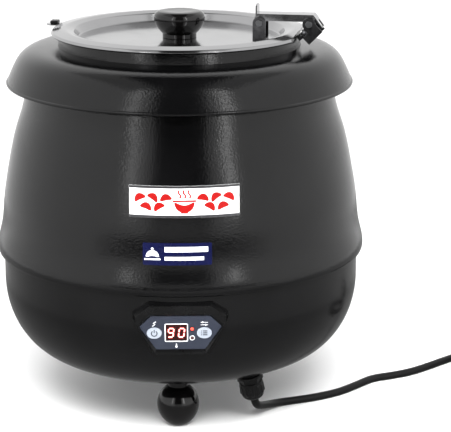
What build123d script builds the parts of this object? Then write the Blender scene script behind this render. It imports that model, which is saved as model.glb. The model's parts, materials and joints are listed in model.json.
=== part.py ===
from build123d import *

import math
import os

# Electric soup kettle, millimetres. The origin is on the floor on the kettle's own axis,
# +Z is up, the control panel faces -Y, and the lid's hinge is near +X.

# --- driving dimensions -----------------------------------------------------------------

SEAM_Z = 168.4           # height of the lip where the upper shell meets the lower one
BODY_R = 183.2           # radius of the lower shell's straight wall
BEAD_R = 189.2           # radius of the swaged bead above the seam
SHELL_T = 1.2            # painted steel sheet
UNDERSIDE_Z = 56.3       # height of the lower shell's flat bottom
CORNER_Z = 134.5         # height at which the lower shell starts to curve in
FLAT_R = 123.2           # radius of the flat part of the bottom
SERVICE_R = 70.0         # round opening in the bottom, closed by the base plate
TANK_R = 131.5           # water bath, outside
TANK_FLOOR_Z = 92.0
TANK_RIM_Z = 358.4
POT_R = 117.0            # removable soup pot, outside
POT_FLOOR_Z = 120.0
POT_RIM_Z = 360.0
POT_T = 1.0
LIFT_GAP = 0.3           # between rims that lift off one another
NECK_R = 122.5           # outside of the neck ring under the lid
NECK_TOP_Z = 388.0
COLLAR_R = 175.3         # bottom edge of the flared collar
COLLAR_Z = 337.0
LID_R = 129.8
LID_PLATE_Z = 380.4      # top of the lid's sunken plate
LID_T = 0.9
LID_FLAT_U = 120.5       # the lid is cut straight at this distance towards the hinge

HINGE_AZIMUTH = -11.0    # degrees from +X towards the front
PIN_Z = 398.1
LID_PIN_U = 82.9         # distance of each hinge pin from the kettle's axis
NECK_PIN_U = 132.8
PIN_R = 2.0
PIN_GAP = 0.05           # running clearance of the arm on its pins
ARM_HALF = 9.0           # half width of the hinge arm
ARM_TOP_Z = 407.4
SHEET_T = 1.5            # hinge sheet
EAR_GAP = 0.5            # from the arm's side to a clevis ear
EAR_R = 6.5

KNOB_R = 25.8
KNOB_TOP_Z = 407.1

PANEL_X = -1.0
PANEL_TOP_Z = 158.7
PANEL_Y = -188.8         # front plane of the bezel
LABEL_Y = -186.6         # front plane of the panel label
BUTTON_TRAVEL = 0.8
POWER_X = -26.0
SET_X = 21.5
BUTTON_Z = 129.1
DISPLAY_X = -5.0
DISPLAY_Z = 129.2

SIGN_X = 3.5
SIGN_SIZE = (104.0, 29.3)
SIGN_Z = 254.5
BADGE_X = -3.5
BADGE_SIZE = (65.0, 21.0)
BADGE_Z = 205.7

FOOT_R = 21.4
FOOT_TOP_Z = 44.0
FOOT_FLAT_R = 5.0        # small flat that each foot stands on
FEET = {"front": (-4.0, -96.0), "left": (-60.0, 85.0), "right": (60.0, 85.0)}

GLAND_AT = (67.5, -100.5, UNDERSIDE_Z)
GLAND_DOWN = (0.18, 0.14, -0.974)
GLAND_LENGTH = 28.5      # from the shell to the end of the gland nut

CORD_D = 8.0
CORD_LENGTH = 1500.0
# The lead from the gland's end, across the floor, to the coil. Centre line, chosen by hand.
CORD_ROUTE = [
    (72.6, -96.5, 28.4),
    (74.5, -95.2, 19.3),
    (79.5, -84.0, 13.5),
    (88.0, -68.0, 8.0),
    (101.0, -53.5, 4.6),
    (120.0, -46.0, 4.0),
    (143.0, -37.5, 4.0),
    (165.0, -25.0, 4.0),
    (181.0, -10.5, 4.0),
    (193.0, 2.0, 4.0),
    (206.5, 15.5, 4.0),
    (228.0, 23.0, 4.0),
    (249.5, 33.0, 4.0),
    (271.0, 50.0, 4.0),
    (292.0, 68.5, 4.0),
    (313.0, 85.0, 4.0),
    (332.6, 101.8, 4.0),
]
COIL_AT = (366.0, 62.0)
COIL_R = 44.0            # at the middle of the turns
COIL_HALF = 12.2
COIL_HEIGHT = 16.5
# From the coil's upper turn to the plug.
TAIL_ROUTE = [
    (338.4, 106.1, 12.0),
    (350.3, 113.5, 12.6),
    (361.3, 120.4, 15.4),
    (370.6, 126.2, 18.6),
]
PLUG_R = 18.6
PLUG_AZIMUTH = 32.0      # the way the plug points, from +X


# --- helpers ----------------------------------------------------------------------------

def save(name, shape):
    """Write one named sub-part, gathering its separate solids."""
    solids = shape.solids()
    whole = solids[0] if len(solids) == 1 else Compound(children=list(solids))
    export_step(whole, f"parts/{name}.step")


def upright(face):
    """Stand a flat (radius, height) section up in the XZ plane."""
    return Plane.XZ * face


def turned(face):
    """Turn a (radius, height) section about the kettle's axis."""
    return revolve(upright(face), Axis.Z, 360)


def left_of(points, distance):
    """The points moved to their left by a distance, mitred at the corners."""
    moved = []
    count = len(points)
    for i, point in enumerate(points):
        before = Vector(*point) - Vector(*points[i - 1]) if i else None
        after = Vector(*points[i + 1]) - Vector(*point) if i < count - 1 else None
        ways = [way.normalized() for way in (before, after) if way is not None]
        normals = [Vector(-way.Y, way.X) for way in ways]
        middle = sum(normals[1:], normals[0]).normalized()
        reach = distance / middle.dot(normals[0])
        moved.append((point[0] + middle.X * reach, point[1] + middle.Y * reach))
    return moved


def sheet(points, radii, thickness):
    """Section of bent sheet along the points, its thickness to the left of them."""
    other = left_of(points, thickness)
    other_radii = []
    for a, b, c, radius in zip(points, points[1:], points[2:], radii):
        turn = (b[0] - a[0]) * (c[1] - b[1]) - (b[1] - a[1]) * (c[0] - b[0])
        other_radii.append(max(radius - math.copysign(thickness, turn), 0.2))
    first = FilletPolyline(*points, radius=radii)
    second = FilletPolyline(*other, radius=other_radii)
    ends = [Line(points[0], other[0]), Line(points[-1], other[-1])]
    return make_face([*first.edges(), *second.edges(), *ends])


def curved_sheet(points, thickness):
    """Section of drawn sheet along one smooth curve, its thickness to the left of it."""
    outer = Spline(*points)
    steps = 3 * len(points)
    inner_points = []
    for i in range(steps + 1):
        place, way = outer.position_at(i / steps), outer.tangent_at(i / steps)
        inner_points.append((place.X - way.Y * thickness, place.Y + way.X * thickness))
    inner = Spline(*inner_points)
    ends = [Line(outer @ 0, inner @ 0), Line(outer @ 1, inner @ 1)]
    return make_face([outer, inner, *ends])


def at_hinge(shape):
    """Turn a shape built along +X round to the hinge's own azimuth."""
    return Rot(0, 0, HINGE_AZIMUTH) * shape


def cross_pin(u, z, radius, half, middle=0.0):
    """A cylinder across the hinge at (u, z), reaching half its length each way."""
    return Pos(u, middle, z) * Rot(90, 0, 0) * Cylinder(radius, 2 * half)


def gland_place(distance):
    """A plane on the gland's axis, this far below the shell, facing down the axis."""
    start, way = Vector(*GLAND_AT), Vector(*GLAND_DOWN).normalized()
    return Plane(origin=start + way * distance, z_dir=way)


def octagon(top, tip, bottom, drop, side, height):
    """Half widths at top, tips and bottom; the tips start at drop and run down by side."""
    half = [(top, 0), (tip, -drop), (tip, -drop - side), (bottom, -height)]
    mirrored = [(-x, z) for x, z in reversed(half)]
    return make_face(Polyline(*half, *mirrored, close=True))


def shrunk(outline, amount):
    """The same octagon moved in by an amount all round."""
    less = dict(outline)
    for key, share in (("top", 0.6), ("tip", 1.1), ("bottom", 0.6), ("height", 2.0)):
        less[key] = outline[key] - share * amount
    return less


def panel_plane(y, top_z):
    """A plane facing the front, its local origin at the top middle of the panel."""
    return Plane(origin=(PANEL_X, y, top_z), x_dir=(1, 0, 0), z_dir=(0, -1, 0))


def tube(route, diameter):
    """A round tube on straight runs and tangent arcs, and the length of its path."""
    points = [Vector(*p) for p in route]
    radii = []
    for a, b, c in zip(points, points[1:], points[2:]):
        turn = math.radians((b - a).get_angle(c - b))
        shorter = min((b - a).length, (c - b).length)
        radii.append(0.45 * shorter / math.tan(turn / 2))
    path = FilletPolyline(*points, radius=radii)
    start = Plane(origin=path @ 0, z_dir=path % 0)
    solid = sweep(start * Circle(diameter / 2), path=path, transition=Transition.RIGHT)
    section = math.pi * diameter**2 / 4
    print("tube radii", [round(r, 1) for r in radii], "length", round(path.length, 1))
    print("volume over section times length", round(solid.volume / section / path.length, 4))
    return solid, path.length


# --- body -------------------------------------------------------------------------------

UPPER_OUTLINE = [
    (184.4, 164.0),
    (187.6, 164.6),
    (BEAD_R, 171.4),
    (187.4, 181.0),
    (184.9, 191.4),
    (181.7, 218.4),
    (175.6, 255.4),
    (166.9, 292.4),
    (159.8, 314.4),
    (153.5, 340.0),
    (144.5, 355.2),
]


def upper_shell():
    """Drawn body shell, from the seam's lip up to the flange that carries the water bath."""
    wall = turned(curved_sheet(UPPER_OUTLINE, SHELL_T))
    end = UPPER_OUTLINE[-1]
    top = [(end[0] + 0.2, end[1] - 0.6), (138.5, TANK_RIM_Z), (TANK_R + 2.2, TANK_RIM_Z)]
    return wall + turned(sheet(top, [6.0], SHELL_T))


def lower_outline(offset):
    """The lower shell's outline, moved inwards by an offset, as three edges."""
    corner = (BODY_R - FLAT_R - offset, CORNER_Z - UNDERSIDE_Z - offset)
    floor_z = UNDERSIDE_Z + offset
    flat = Line((SERVICE_R, floor_z), (FLAT_R, floor_z))
    curve = EllipticalCenterArc((FLAT_R, CORNER_Z), *corner, start_angle=270, arc_size=90)
    wall = Line((BODY_R - offset, CORNER_Z), (BODY_R - offset, SEAM_Z + 9))
    return [flat, curve, wall]


def lower_section():
    outer, inner = lower_outline(0.0), lower_outline(SHELL_T)
    ends = [Line(outer[0] @ 0, inner[0] @ 0), Line(outer[2] @ 1, inner[2] @ 1)]
    return make_face([*outer, *inner, *ends])


def lower_solid():
    """The lower shell as a filled body, to trim what sits on its wall."""
    outer = lower_outline(0.0)
    rim = Line(outer[2] @ 1, (0, SEAM_Z + 9))
    axis = Line((0, SEAM_Z + 9), (0, UNDERSIDE_Z))
    floor = Line((0, UNDERSIDE_Z), outer[0] @ 0)
    return turned(make_face([*outer, rim, axis, floor]))


# The panel label's outline; the window behind it in the shell is a little smaller.
LABEL = dict(top=27.9, tip=38.4, bottom=23.2, drop=9.9, side=1.6, height=33.2)
LABEL_TOP_Z = PANEL_TOP_Z - 12.9
WINDOW_INSET = 0.8
SLEEVE_INSET = 1.1
HOLLOW_INSET = 2.3


def lower_shell():
    """Drawn bowl with a service opening, stud holes, the gland's hole and the panel's window."""
    shell = turned(lower_section())
    window = panel_plane(-160, LABEL_TOP_Z - WINDOW_INSET) * octagon(**shrunk(LABEL, WINDOW_INSET))
    shell -= extrude(window, 40)
    for x, y in FEET.values():
        shell -= Pos(x, y, UNDERSIDE_Z) * Cylinder(4.2, 20)
    shell -= gland_place(0) * Cylinder(10.4, 30)
    for x, y in screw_ring(4, 76.0, 45):
        shell -= Pos(x, y, UNDERSIDE_Z) * Cylinder(1.7, 20)
    return shell


def screw_ring(count, radius, first):
    """Places of equally spaced screws on a circle."""
    angles = [math.radians(first + 360 * i / count) for i in range(count)]
    return [(radius * math.cos(a), radius * math.sin(a)) for a in angles]


def base_plate():
    """Round cover over the service opening, with a pressed rib and cooling slots."""
    plate = Pos(0, 0, UNDERSIDE_Z - 0.7) * Cylinder(82.0, 1.4)
    plate -= Pos(0, 0, UNDERSIDE_Z - 0.7) * (Cylinder(60, 0.6) - Cylinder(56, 0.6))
    slot = Pos(34, 0, UNDERSIDE_Z) * extrude(SlotOverall(24, 4), 10, both=True)
    for i in range(8):
        plate -= Rot(0, 0, 45 * i) * slot
    for x, y in screw_ring(4, 76.0, 45):
        plate -= Pos(x, y, UNDERSIDE_Z) * Cylinder(2.2, 20)
    return plate


def base_screws():
    """Four pan-head screws that hold the base plate."""
    screws = []
    for x, y in screw_ring(4, 76.0, 45):
        head = Pos(x, y, UNDERSIDE_Z - 2.4) * Cylinder(3.6, 2.0)
        shank = Pos(x, y, UNDERSIDE_Z + 2.3) * Cylinder(1.7, 7.4)
        screws.append(head + shank)
    return Compound(children=screws)


def seam_rivets():
    """Blind rivets inside the seam, standing on the lower shell's inner wall."""
    rivet = Pos(BODY_R - SHELL_T - 0.9, 0, SEAM_Z + 2) * Rot(0, 90, 0) * Cylinder(3.0, 1.6)
    return Compound(children=[Rot(0, 0, 30 + 60 * i) * rivet for i in range(6)])


# --- water bath and pot -------------------------------------------------------------------

def water_tank():
    """Stainless water bath that hangs from the upper shell's flange."""
    path = [(0, TANK_FLOOR_Z), (TANK_R, TANK_FLOOR_Z), (TANK_R, TANK_RIM_Z), (138.0, TANK_RIM_Z)]
    return turned(sheet(path, [14.0, 1.5], 1.0))


def insulation():
    """Glass-fibre blanket round the water bath."""
    return Pos(0, 0, 230) * (Cylinder(TANK_R + 9, 200) - Cylinder(TANK_R + 0.5, 200))


def insert_pot():
    """Removable stainless soup pot with a wide flat rim."""
    path = [(0, POT_FLOOR_Z), (POT_R, POT_FLOOR_Z), (POT_R, POT_RIM_Z), (135.5, POT_RIM_Z)]
    return turned(sheet(path, [16.0, 1.5], POT_T))


def heating_element():
    """Tubular heater bent to a ring under the bath, with two cold ends."""
    ring = Pos(0, 0, TANK_FLOOR_Z - 4.2) * Torus(70, 4.0)
    cold = Pos(70, 0, TANK_FLOOR_Z - 11) * Cylinder(3.2, 12)
    return ring + Rot(0, 0, 80) * cold + Rot(0, 0, 100) * cold


def element_clamp():
    """Pressed bar that holds the heater against the bath, with its stud and nut."""
    bar = Pos(0, 0, TANK_FLOOR_Z - 9.4) * Box(164, 18, 2)
    stud = Pos(0, 0, TANK_FLOOR_Z - 9) * Cylinder(3, 17.8)
    nut = Pos(0, 0, TANK_FLOOR_Z - 12.9) * extrude(RegularPolygon(6, 6), 5, both=True)
    nut = nut & Pos(0, 0, TANK_FLOOR_Z - 12.9) * Box(30, 30, 5)
    return bar + stud + nut


def thermal_cutout():
    """Snap-disc overheat cut-out with two blade terminals, against the bath's floor."""
    can = Pos(-30, -28, TANK_FLOOR_Z - 5) * Cylinder(8, 9.8)
    blades = [Pos(-30 + side, -28, TANK_FLOOR_Z - 14) * Box(0.8, 6.3, 9) for side in (-4, 4)]
    return can + blades[0] + blades[1]


def temperature_sensor():
    """Probe in its sleeve, against the bath's floor."""
    tip = Pos(28, -30, TANK_FLOOR_Z - 3.2) * Rot(0, 90, 0) * Cylinder(3, 26)
    sleeve = Pos(44, -30, TANK_FLOOR_Z - 3.2) * Rot(0, 90, 0) * Cylinder(2.2, 8)
    return tip + sleeve


# --- collar ring ---------------------------------------------------------------------------

COLLAR_OUTLINE = [
    (COLLAR_R, COLLAR_Z),
    (173.6, 341.6),
    (170.2, 349.4),
    (165.6, 358.4),
    (159.4, 365.9),
    (151.5, 370.3),
    (140.0, 372.6),
    (NECK_R, 374.1),
]


def collar():
    """Flared collar with a beaded bottom edge, pressed on to the neck ring."""
    skirt = turned(curved_sheet(COLLAR_OUTLINE, SHELL_T))
    bead = Pos(0, 0, COLLAR_Z + 0.6) * Torus(COLLAR_R - 1.2, 1.8)
    return skirt + bead - Pos(0, 0, POT_RIM_Z) * Cylinder(NECK_R, 60)


def neck_ring():
    """Upright ring that carries the collar and the hinge, and rests on the pot's rim."""
    foot_z = POT_RIM_Z + POT_T + LIFT_GAP + SHELL_T
    path = [(134.0, foot_z), (NECK_R, foot_z), (NECK_R, NECK_TOP_Z), (119.6, NECK_TOP_Z)]
    ring = turned(sheet(path, [1.6, 1.6], SHELL_T))
    return ring - at_hinge(stud_hole())


STUD_AT = (125.6, 385.9)     # where the hinge stud meets the clevis web
STUD_LEAN = 40.0             # degrees above the horizontal
STUD_R = 2.8


def along_stud(distance, length, radius):
    """A cylinder on the stud's axis; the distance runs outwards from the clevis web."""
    lean = math.radians(STUD_LEAN)
    u = STUD_AT[0] + distance * math.cos(lean)
    z = STUD_AT[1] + distance * math.sin(lean)
    return Pos(u, 0, z) * Rot(0, 90 - STUD_LEAN, 0) * Cylinder(radius, length)


def stud_hole():
    return along_stud(-5, 14, STUD_R + 0.1)


# --- hinge ---------------------------------------------------------------------------------

EAR_INNER = ARM_HALF + EAR_GAP
FORK_HALF = 5.2              # half width of the slot that clears the stud's head
EAR_OUTER = EAR_INNER + SHEET_T
CLEVIS_LEAN = 45.0           # the neck clevis points this far below the horizontal
CLEVIS_LENGTH = 14.7         # from the pin to the clevis's end
WEB_DROP = 13.9              # from the pin to the outside of the web


def neck_frame():
    """Plane at the neck pin: local x runs down the clevis, local y is away from its web."""
    lean = math.radians(CLEVIS_LEAN)
    way = (math.cos(lean), 0, -math.sin(lean))
    return Plane(origin=(NECK_PIN_U, 0, PIN_Z), x_dir=way, z_dir=(0, -1, 0))


def neck_clevis():
    """Pressed bracket of two ears and a web, with a tongue for the stud."""
    boss = Circle(EAR_R)
    blade = Pos(CLEVIS_LENGTH / 2, -1.1) * Rectangle(CLEVIS_LENGTH, 11.8)
    lower = Pos(10.1, -10.0) * Rectangle(9.2, 7.8)
    web_side = boss + blade + lower
    block = neck_frame() * extrude(web_side, EAR_OUTER, both=True)
    hollow = neck_frame() * extrude(Pos(0, -2.4 + 10) * Rectangle(60, 40), EAR_INNER, both=True)
    web_plate = Pos(7.6, SHEET_T / 2 - WEB_DROP) * Rectangle(14.2, SHEET_T)
    tongue = neck_frame() * extrude(web_plate, 5.2, both=True)
    bracket = (block - hollow) + tongue
    bracket -= cross_pin(NECK_PIN_U, PIN_Z, PIN_R, 20)
    bracket -= stud_hole()
    return at_hinge(bracket)


def clevis_bolt():
    """Stud that carries the neck clevis: its head is inside the bracket."""
    shank = along_stud(-4.4, 18.0, STUD_R)
    head = along_stud(3.4, 3.0, 4.4)
    return at_hinge(shank + head)


def clevis_nut():
    """Nut on the stud, inside the neck."""
    nut = along_stud(-11.5, 3.2, 4.6) - along_stud(-11.5, 5, STUD_R)
    return at_hinge(nut)


def hinge_pin(u, inner_end):
    """Headed pin across a clevis, riveted over at its far end."""
    half = EAR_OUTER
    shaft = cross_pin(u, PIN_Z, PIN_R, half + 0.2)
    near = cross_pin(u, PIN_Z, 3.4, 0.8, -(half + 0.8))
    far = cross_pin(u, PIN_Z, inner_end, 0.6, half + 0.6)
    return at_hinge(shaft + near + far)


def hinge_arm():
    """Channel arm with a finger tab, two pairs of lugs and a forked tail that stops it when open."""
    start, end = 79.0, 137.0
    length = end - start
    middle = (start + end) / 2
    depth = 7.0
    channel = Pos(middle, 0, ARM_TOP_Z - depth / 2) * Box(length, 2 * ARM_HALF, depth)
    inner = 2 * (ARM_HALF - SHEET_T)
    channel -= Pos(middle, 0, ARM_TOP_Z - SHEET_T - depth / 2) * Box(length + 9, inner, depth)
    lugs = []
    for u in (LID_PIN_U, NECK_PIN_U):
        for side in (-1, 1):
            lug_v = side * (ARM_HALF - SHEET_T / 2)
            disc = cross_pin(u, PIN_Z, 5.4, SHEET_T / 2, lug_v)
            neck = Pos(u, lug_v, PIN_Z + 3) * Box(9.6, SHEET_T, 7)
            lugs += [disc, neck]
    under = ARM_TOP_Z - SHEET_T
    tail_path = [(end - 4, under), (end - 0.6, under), (145.2, under - 11.9)]
    tail = extrude(Plane.XZ * sheet(tail_path, [0.4], SHEET_T), ARM_HALF, both=True)
    tail -= Pos(144, 0, 394.5) * Box(12, 2 * FORK_HALF, 14)
    tab_outline = Pos(0, 4) * Rectangle(2 * ARM_HALF, 8) + Pos(0, 7.2) * Ellipse(ARM_HALF, 3.4)
    tab_plane = Plane(origin=(start, 0, ARM_TOP_Z - SHEET_T), x_dir=(0, 1, 0), z_dir=(1, 0, 0))
    tab = extrude(tab_plane * tab_outline, SHEET_T)
    arm = channel + lugs + tail + tab
    for u in (LID_PIN_U, NECK_PIN_U):
        arm -= cross_pin(u, PIN_Z, PIN_R + PIN_GAP, 20)
    return at_hinge(arm)


def lid_clevis():
    """Small bracket of two ears on a foot, riveted to the lid's plate."""
    height = PIN_Z - LID_PLATE_Z
    ear = Pos(LID_PIN_U, 0, LID_PLATE_Z + height / 2) * Box(13, 2 * EAR_OUTER, height)
    ear += cross_pin(LID_PIN_U, PIN_Z, EAR_R, EAR_OUTER)
    room = Pos(LID_PIN_U, 0, LID_PLATE_Z + SHEET_T + 20) * Box(30, 2 * EAR_INNER, 40)
    bracket = ear - room - cross_pin(LID_PIN_U, PIN_Z, PIN_R, 20)
    for side in (-1, 1):
        bracket -= Pos(LID_PIN_U, 4.5 * side, LID_PLATE_Z) * Cylinder(1.6, 12)
    return at_hinge(bracket)


def clevis_rivets():
    """Two rivets through the lid clevis's foot and the lid."""
    rivets = []
    for side in (-1, 1):
        place = Pos(LID_PIN_U, 4.5 * side, LID_PLATE_Z)
        shank = place * Pos(0, 0, 0.3) * Cylinder(1.6, 2 * LID_T + 1.6)
        head = place * Pos(0, 0, SHEET_T + 0.5) * Cylinder(3.0, 1.0)
        tail = place * Pos(0, 0, -LID_T - 0.5) * Cylinder(2.6, 1.0)
        rivets.append(shank + head + tail)
    return at_hinge(Compound(children=rivets))


# --- lid -----------------------------------------------------------------------------------

def lid():
    """Polished lid: sunken plate, steep riser, domed brim, rolled edge, cut flat at the hinge."""
    path = [
        (LID_R - 1.4, 385.2),
        (LID_R, 386.6),
        (LID_R - 1.6, 389.0),
        (115.0, 390.9),
        (106.6, 388.6),
        (102.6, LID_PLATE_Z),
        (0, LID_PLATE_Z),
    ]
    cover = turned(sheet(path, [1.0, 1.2, 12.0, 2.4, 2.4], LID_T))
    cut = Pos(LID_FLAT_U + 20, 0, 390) * Box(40, 200, 40)
    cover -= at_hinge(fillet(cut.edges().filter_by(Axis.Z), 2))
    cover -= Pos(0, 0, LID_PLATE_Z) * Cylinder(3.2, 10)
    for side in (-1, 1):
        cover -= at_hinge(Pos(LID_PIN_U, 4.5 * side, LID_PLATE_Z) * Cylinder(1.6, 12))
    return cover


def lid_knob():
    """Bakelite knob: short neck, bowl, flat top, with a blind hole for its screw."""
    neck_r = 17.2
    foot = Line((0, LID_PLATE_Z), (neck_r, LID_PLATE_Z))
    neck = Line((neck_r, LID_PLATE_Z), (neck_r, LID_PLATE_Z + 4.2))
    bowl = Spline(
        (neck_r, LID_PLATE_Z + 4.2),
        (22.6, LID_PLATE_Z + 10.6),
        (KNOB_R, LID_PLATE_Z + 19.6),
        (24.6, LID_PLATE_Z + 24.2),
        (21.0, KNOB_TOP_Z),
        tangents=[(0.72, 0.69), (-0.86, 0.5)],
    )
    top = Line((21.0, KNOB_TOP_Z), (0, KNOB_TOP_Z))
    axis = Line((0, KNOB_TOP_Z), (0, LID_PLATE_Z))
    knob = turned(make_face([foot, neck, bowl, top, axis]))
    return knob - Pos(0, 0, LID_PLATE_Z + 5) * Cylinder(2.5, 18)


def knob_screw():
    """Screw from below the lid into the knob."""
    head = Pos(0, 0, LID_PLATE_Z - LID_T - 2.8) * Cylinder(4.6, 3.6)
    shank = Pos(0, 0, LID_PLATE_Z + 4.7) * Cylinder(2.5, 14.6)
    return head + shank


def knob_washer():
    """Washer between the screw's head and the lid."""
    ring = Cylinder(8, 1.0) - Cylinder(2.6, 3)
    return Pos(0, 0, LID_PLATE_Z - LID_T - 0.5) * ring


TONGUE_AZIMUTH = 170.0


def lift_tongue():
    """Rounded steel tongue on the lid's edge, opposite the hinge."""
    outline = Pos(127.5, 0) * Rectangle(9, 12) + Pos(131.5, 0) * Circle(6)
    plate = extrude(outline, 1.4)
    return Rot(0, 0, TONGUE_AZIMUTH) * Pos(0, 0, 389.9) * plate


def tongue_grip():
    """Black grip on the tongue."""
    grip = Pos(129.0, 0, 393.0) * Box(8, 10, 3.4)
    return Rot(0, 0, TONGUE_AZIMUTH) * fillet(grip.edges(), 1.0)


# --- control panel -------------------------------------------------------------------------

BEZEL = dict(top=30.0, tip=45.4, bottom=25.8, drop=10.6, side=5.5, height=52.8)
BEZEL_SLOPE = 2.4        # how far the frame's outer slope runs in
LABEL_SLOPE = 2.2        # the same of the slope down to the label
SLEEVE_Y = -175.2


def panel_bezel():
    """Moulded frame with sloping sides, recessed for the label, seated on the lower shell."""
    front = panel_plane(PANEL_Y, PANEL_TOP_Z - BEZEL_SLOPE) * octagon(**shrunk(BEZEL, BEZEL_SLOPE))
    back = panel_plane(PANEL_Y + 6.5, PANEL_TOP_Z) * octagon(**BEZEL)
    deep = panel_plane(PANEL_Y + 20, PANEL_TOP_Z) * octagon(**BEZEL)
    block = loft([front, back]) + loft([back, deep])
    block -= scale(lower_solid(), (1.0002, 1.0002, 1))
    sleeve = panel_plane(SLEEVE_Y, LABEL_TOP_Z - SLEEVE_INSET) * octagon(**shrunk(LABEL, SLEEVE_INSET))
    frame = block + extrude(sleeve, 10)
    mouth = panel_plane(PANEL_Y - 0.1, LABEL_TOP_Z + LABEL_SLOPE) * octagon(**shrunk(LABEL, -LABEL_SLOPE))
    seat = panel_plane(LABEL_Y, LABEL_TOP_Z + 0.1) * octagon(**shrunk(LABEL, -0.1))
    floor = panel_plane(LABEL_Y + 1.0, LABEL_TOP_Z + 0.1) * octagon(**shrunk(LABEL, -0.1))
    frame -= loft([mouth, seat]) + loft([seat, floor])
    inner = panel_plane(-160, LABEL_TOP_Z - HOLLOW_INSET) * octagon(**shrunk(LABEL, HOLLOW_INSET))
    return frame - extrude(inner, 40)


def oval(width, height):
    """An ellipse by its full width and height."""
    return Ellipse(width / 2, height / 2)


BUTTON_SIZE = (14.2, 11.0)
DISPLAY_SIZE = (21.6, 17.7)
INDICATOR_X = 10.0
INDICATOR_Z = (132.9, 123.9)
INDICATOR_R = 1.7


def front_plane(x, z, y):
    """A plane facing the front at one place of the panel."""
    return Plane(origin=(x, y, z), x_dir=(1, 0, 0), z_dir=(0, -1, 0))


def panel_label():
    """Printed label plate with openings for the display, the buttons and the indicators."""
    plate = extrude(panel_plane(LABEL_Y + 0.9, LABEL_TOP_Z) * octagon(**LABEL), 0.9)
    width, height = BUTTON_SIZE
    for x in (POWER_X, SET_X):
        plate -= extrude(front_plane(x, BUTTON_Z, LABEL_Y + 5) * oval(width + 0.4, height + 0.4), 10)
    window = front_plane(DISPLAY_X, DISPLAY_Z, LABEL_Y + 5) * Rectangle(*DISPLAY_SIZE)
    plate -= extrude(window, 10)
    for z in INDICATOR_Z:
        plate -= extrude(front_plane(INDICATOR_X, z, LABEL_Y + 5) * Circle(INDICATOR_R), 10)
    return plate


def button(x):
    """Oval push-button cap with a flange behind the label and a plunger."""
    width, height = BUTTON_SIZE
    cap = extrude(front_plane(x, BUTTON_Z, LABEL_Y + 1.3) * oval(width, height), 1.3 + 0.9)
    flange = extrude(front_plane(x, BUTTON_Z, LABEL_Y + 2.3) * oval(width - 3.2, height + 3.4), 1.0)
    stem = extrude(front_plane(x, BUTTON_Z, LABEL_Y + 8.3) * Circle(2.2), 6.5)
    return cap + flange + stem


def display_window():
    """Tinted lens over the digits."""
    width, height = DISPLAY_SIZE
    lens = front_plane(DISPLAY_X, DISPLAY_Z, LABEL_Y + 0.9) * Rectangle(width, height)
    return extrude(lens, 0.6)


def display_module():
    """Two-digit display block with its leads."""
    block = front_plane(DISPLAY_X, DISPLAY_Z, LABEL_Y + 9.4) * Rectangle(25.4, 19.0)
    body = extrude(block, 8.4)
    leads = []
    for i in range(5):
        for side in (-1, 1):
            place = front_plane(DISPLAY_X - 5.1 + 2.54 * i, DISPLAY_Z + 7.6 * side, BOARD_Y + 2.0)
            leads.append(extrude(place * Circle(0.3), BOARD_Y + 2.0 - (LABEL_Y + 9.4)))
    return body + leads


BOARD_Y = LABEL_Y + 13.2


def control_board():
    """Circuit board with its larger components."""
    board = Pos(PANEL_X, BOARD_Y + 0.8, BUTTON_Z + 1) * Box(68, 1.6, 22)
    for i in range(5):
        for side in (-1, 1):
            place = front_plane(DISPLAY_X - 5.1 + 2.54 * i, DISPLAY_Z + 7.6 * side, BOARD_Y + 4)
            board -= extrude(place * Circle(0.4), 8)
    relay = Pos(PANEL_X + 18, BOARD_Y + 9.6, BUTTON_Z + 1) * Box(15, 16, 19)
    transformer = Pos(PANEL_X - 16, BOARD_Y + 9.1, BUTTON_Z + 1) * Box(22, 15, 20)
    capacitor = Pos(PANEL_X + 2, BOARD_Y + 7.1, BUTTON_Z + 1) * Rot(90, 0, 0) * Cylinder(4, 11)
    return board + relay + transformer + capacitor


def button_switches():
    """Two tact switches on the board, behind the buttons."""
    switches = []
    for x in (POWER_X, SET_X):
        case = Pos(x, BOARD_Y - 1.6, BUTTON_Z) * Box(6, 3.2, 6)
        switches.append(case)
    return Compound(children=switches)


def indicator_lenses():
    """Two small round lenses with their lamp bodies on the board."""
    lamps = []
    for z in INDICATOR_Z:
        lens = front_plane(INDICATOR_X, z, LABEL_Y + 6.0) * Circle(INDICATOR_R - 0.05)
        lamps.append(extrude(lens, 6.5))
    return Compound(children=lamps)


def board_screws():
    """Two screws that hold the bezel to the board's posts."""
    screws = []
    for x in (PANEL_X - 30.5, PANEL_X + 30.5):
        screws.append(Pos(x, BOARD_Y + 2.6, BUTTON_Z + 8) * Rot(90, 0, 0) * Cylinder(2.4, 2.0))
    return Compound(children=screws)


# --- sign and badge ------------------------------------------------------------------------

def outline_radius(z):
    """Radius of the upper shell's outside at a height, read from its outline."""
    curve = Spline(*UPPER_OUTLINE)
    low, high = 0.0, 1.0
    for _ in range(40):
        middle = (low + high) / 2
        if (curve @ middle).Y < z:
            low = middle
        else:
            high = middle
    return (curve @ low).X


GLUE = 0.06


def shell_patch(x, z, size, thickness):
    """A thin plate of a given size that follows the upper shell's outside."""
    width, height = size
    rows = [z - height / 2 + height * i / 4 for i in range(5)]
    outline = [(outline_radius(row) + GLUE, row) for row in rows]
    section = curved_sheet(list(reversed(outline)), thickness)
    ring = turned(section)
    window = Pos(x, -160, z) * Box(width, 120, height + 20)
    return ring & window


# --- feet ----------------------------------------------------------------------------------

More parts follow.
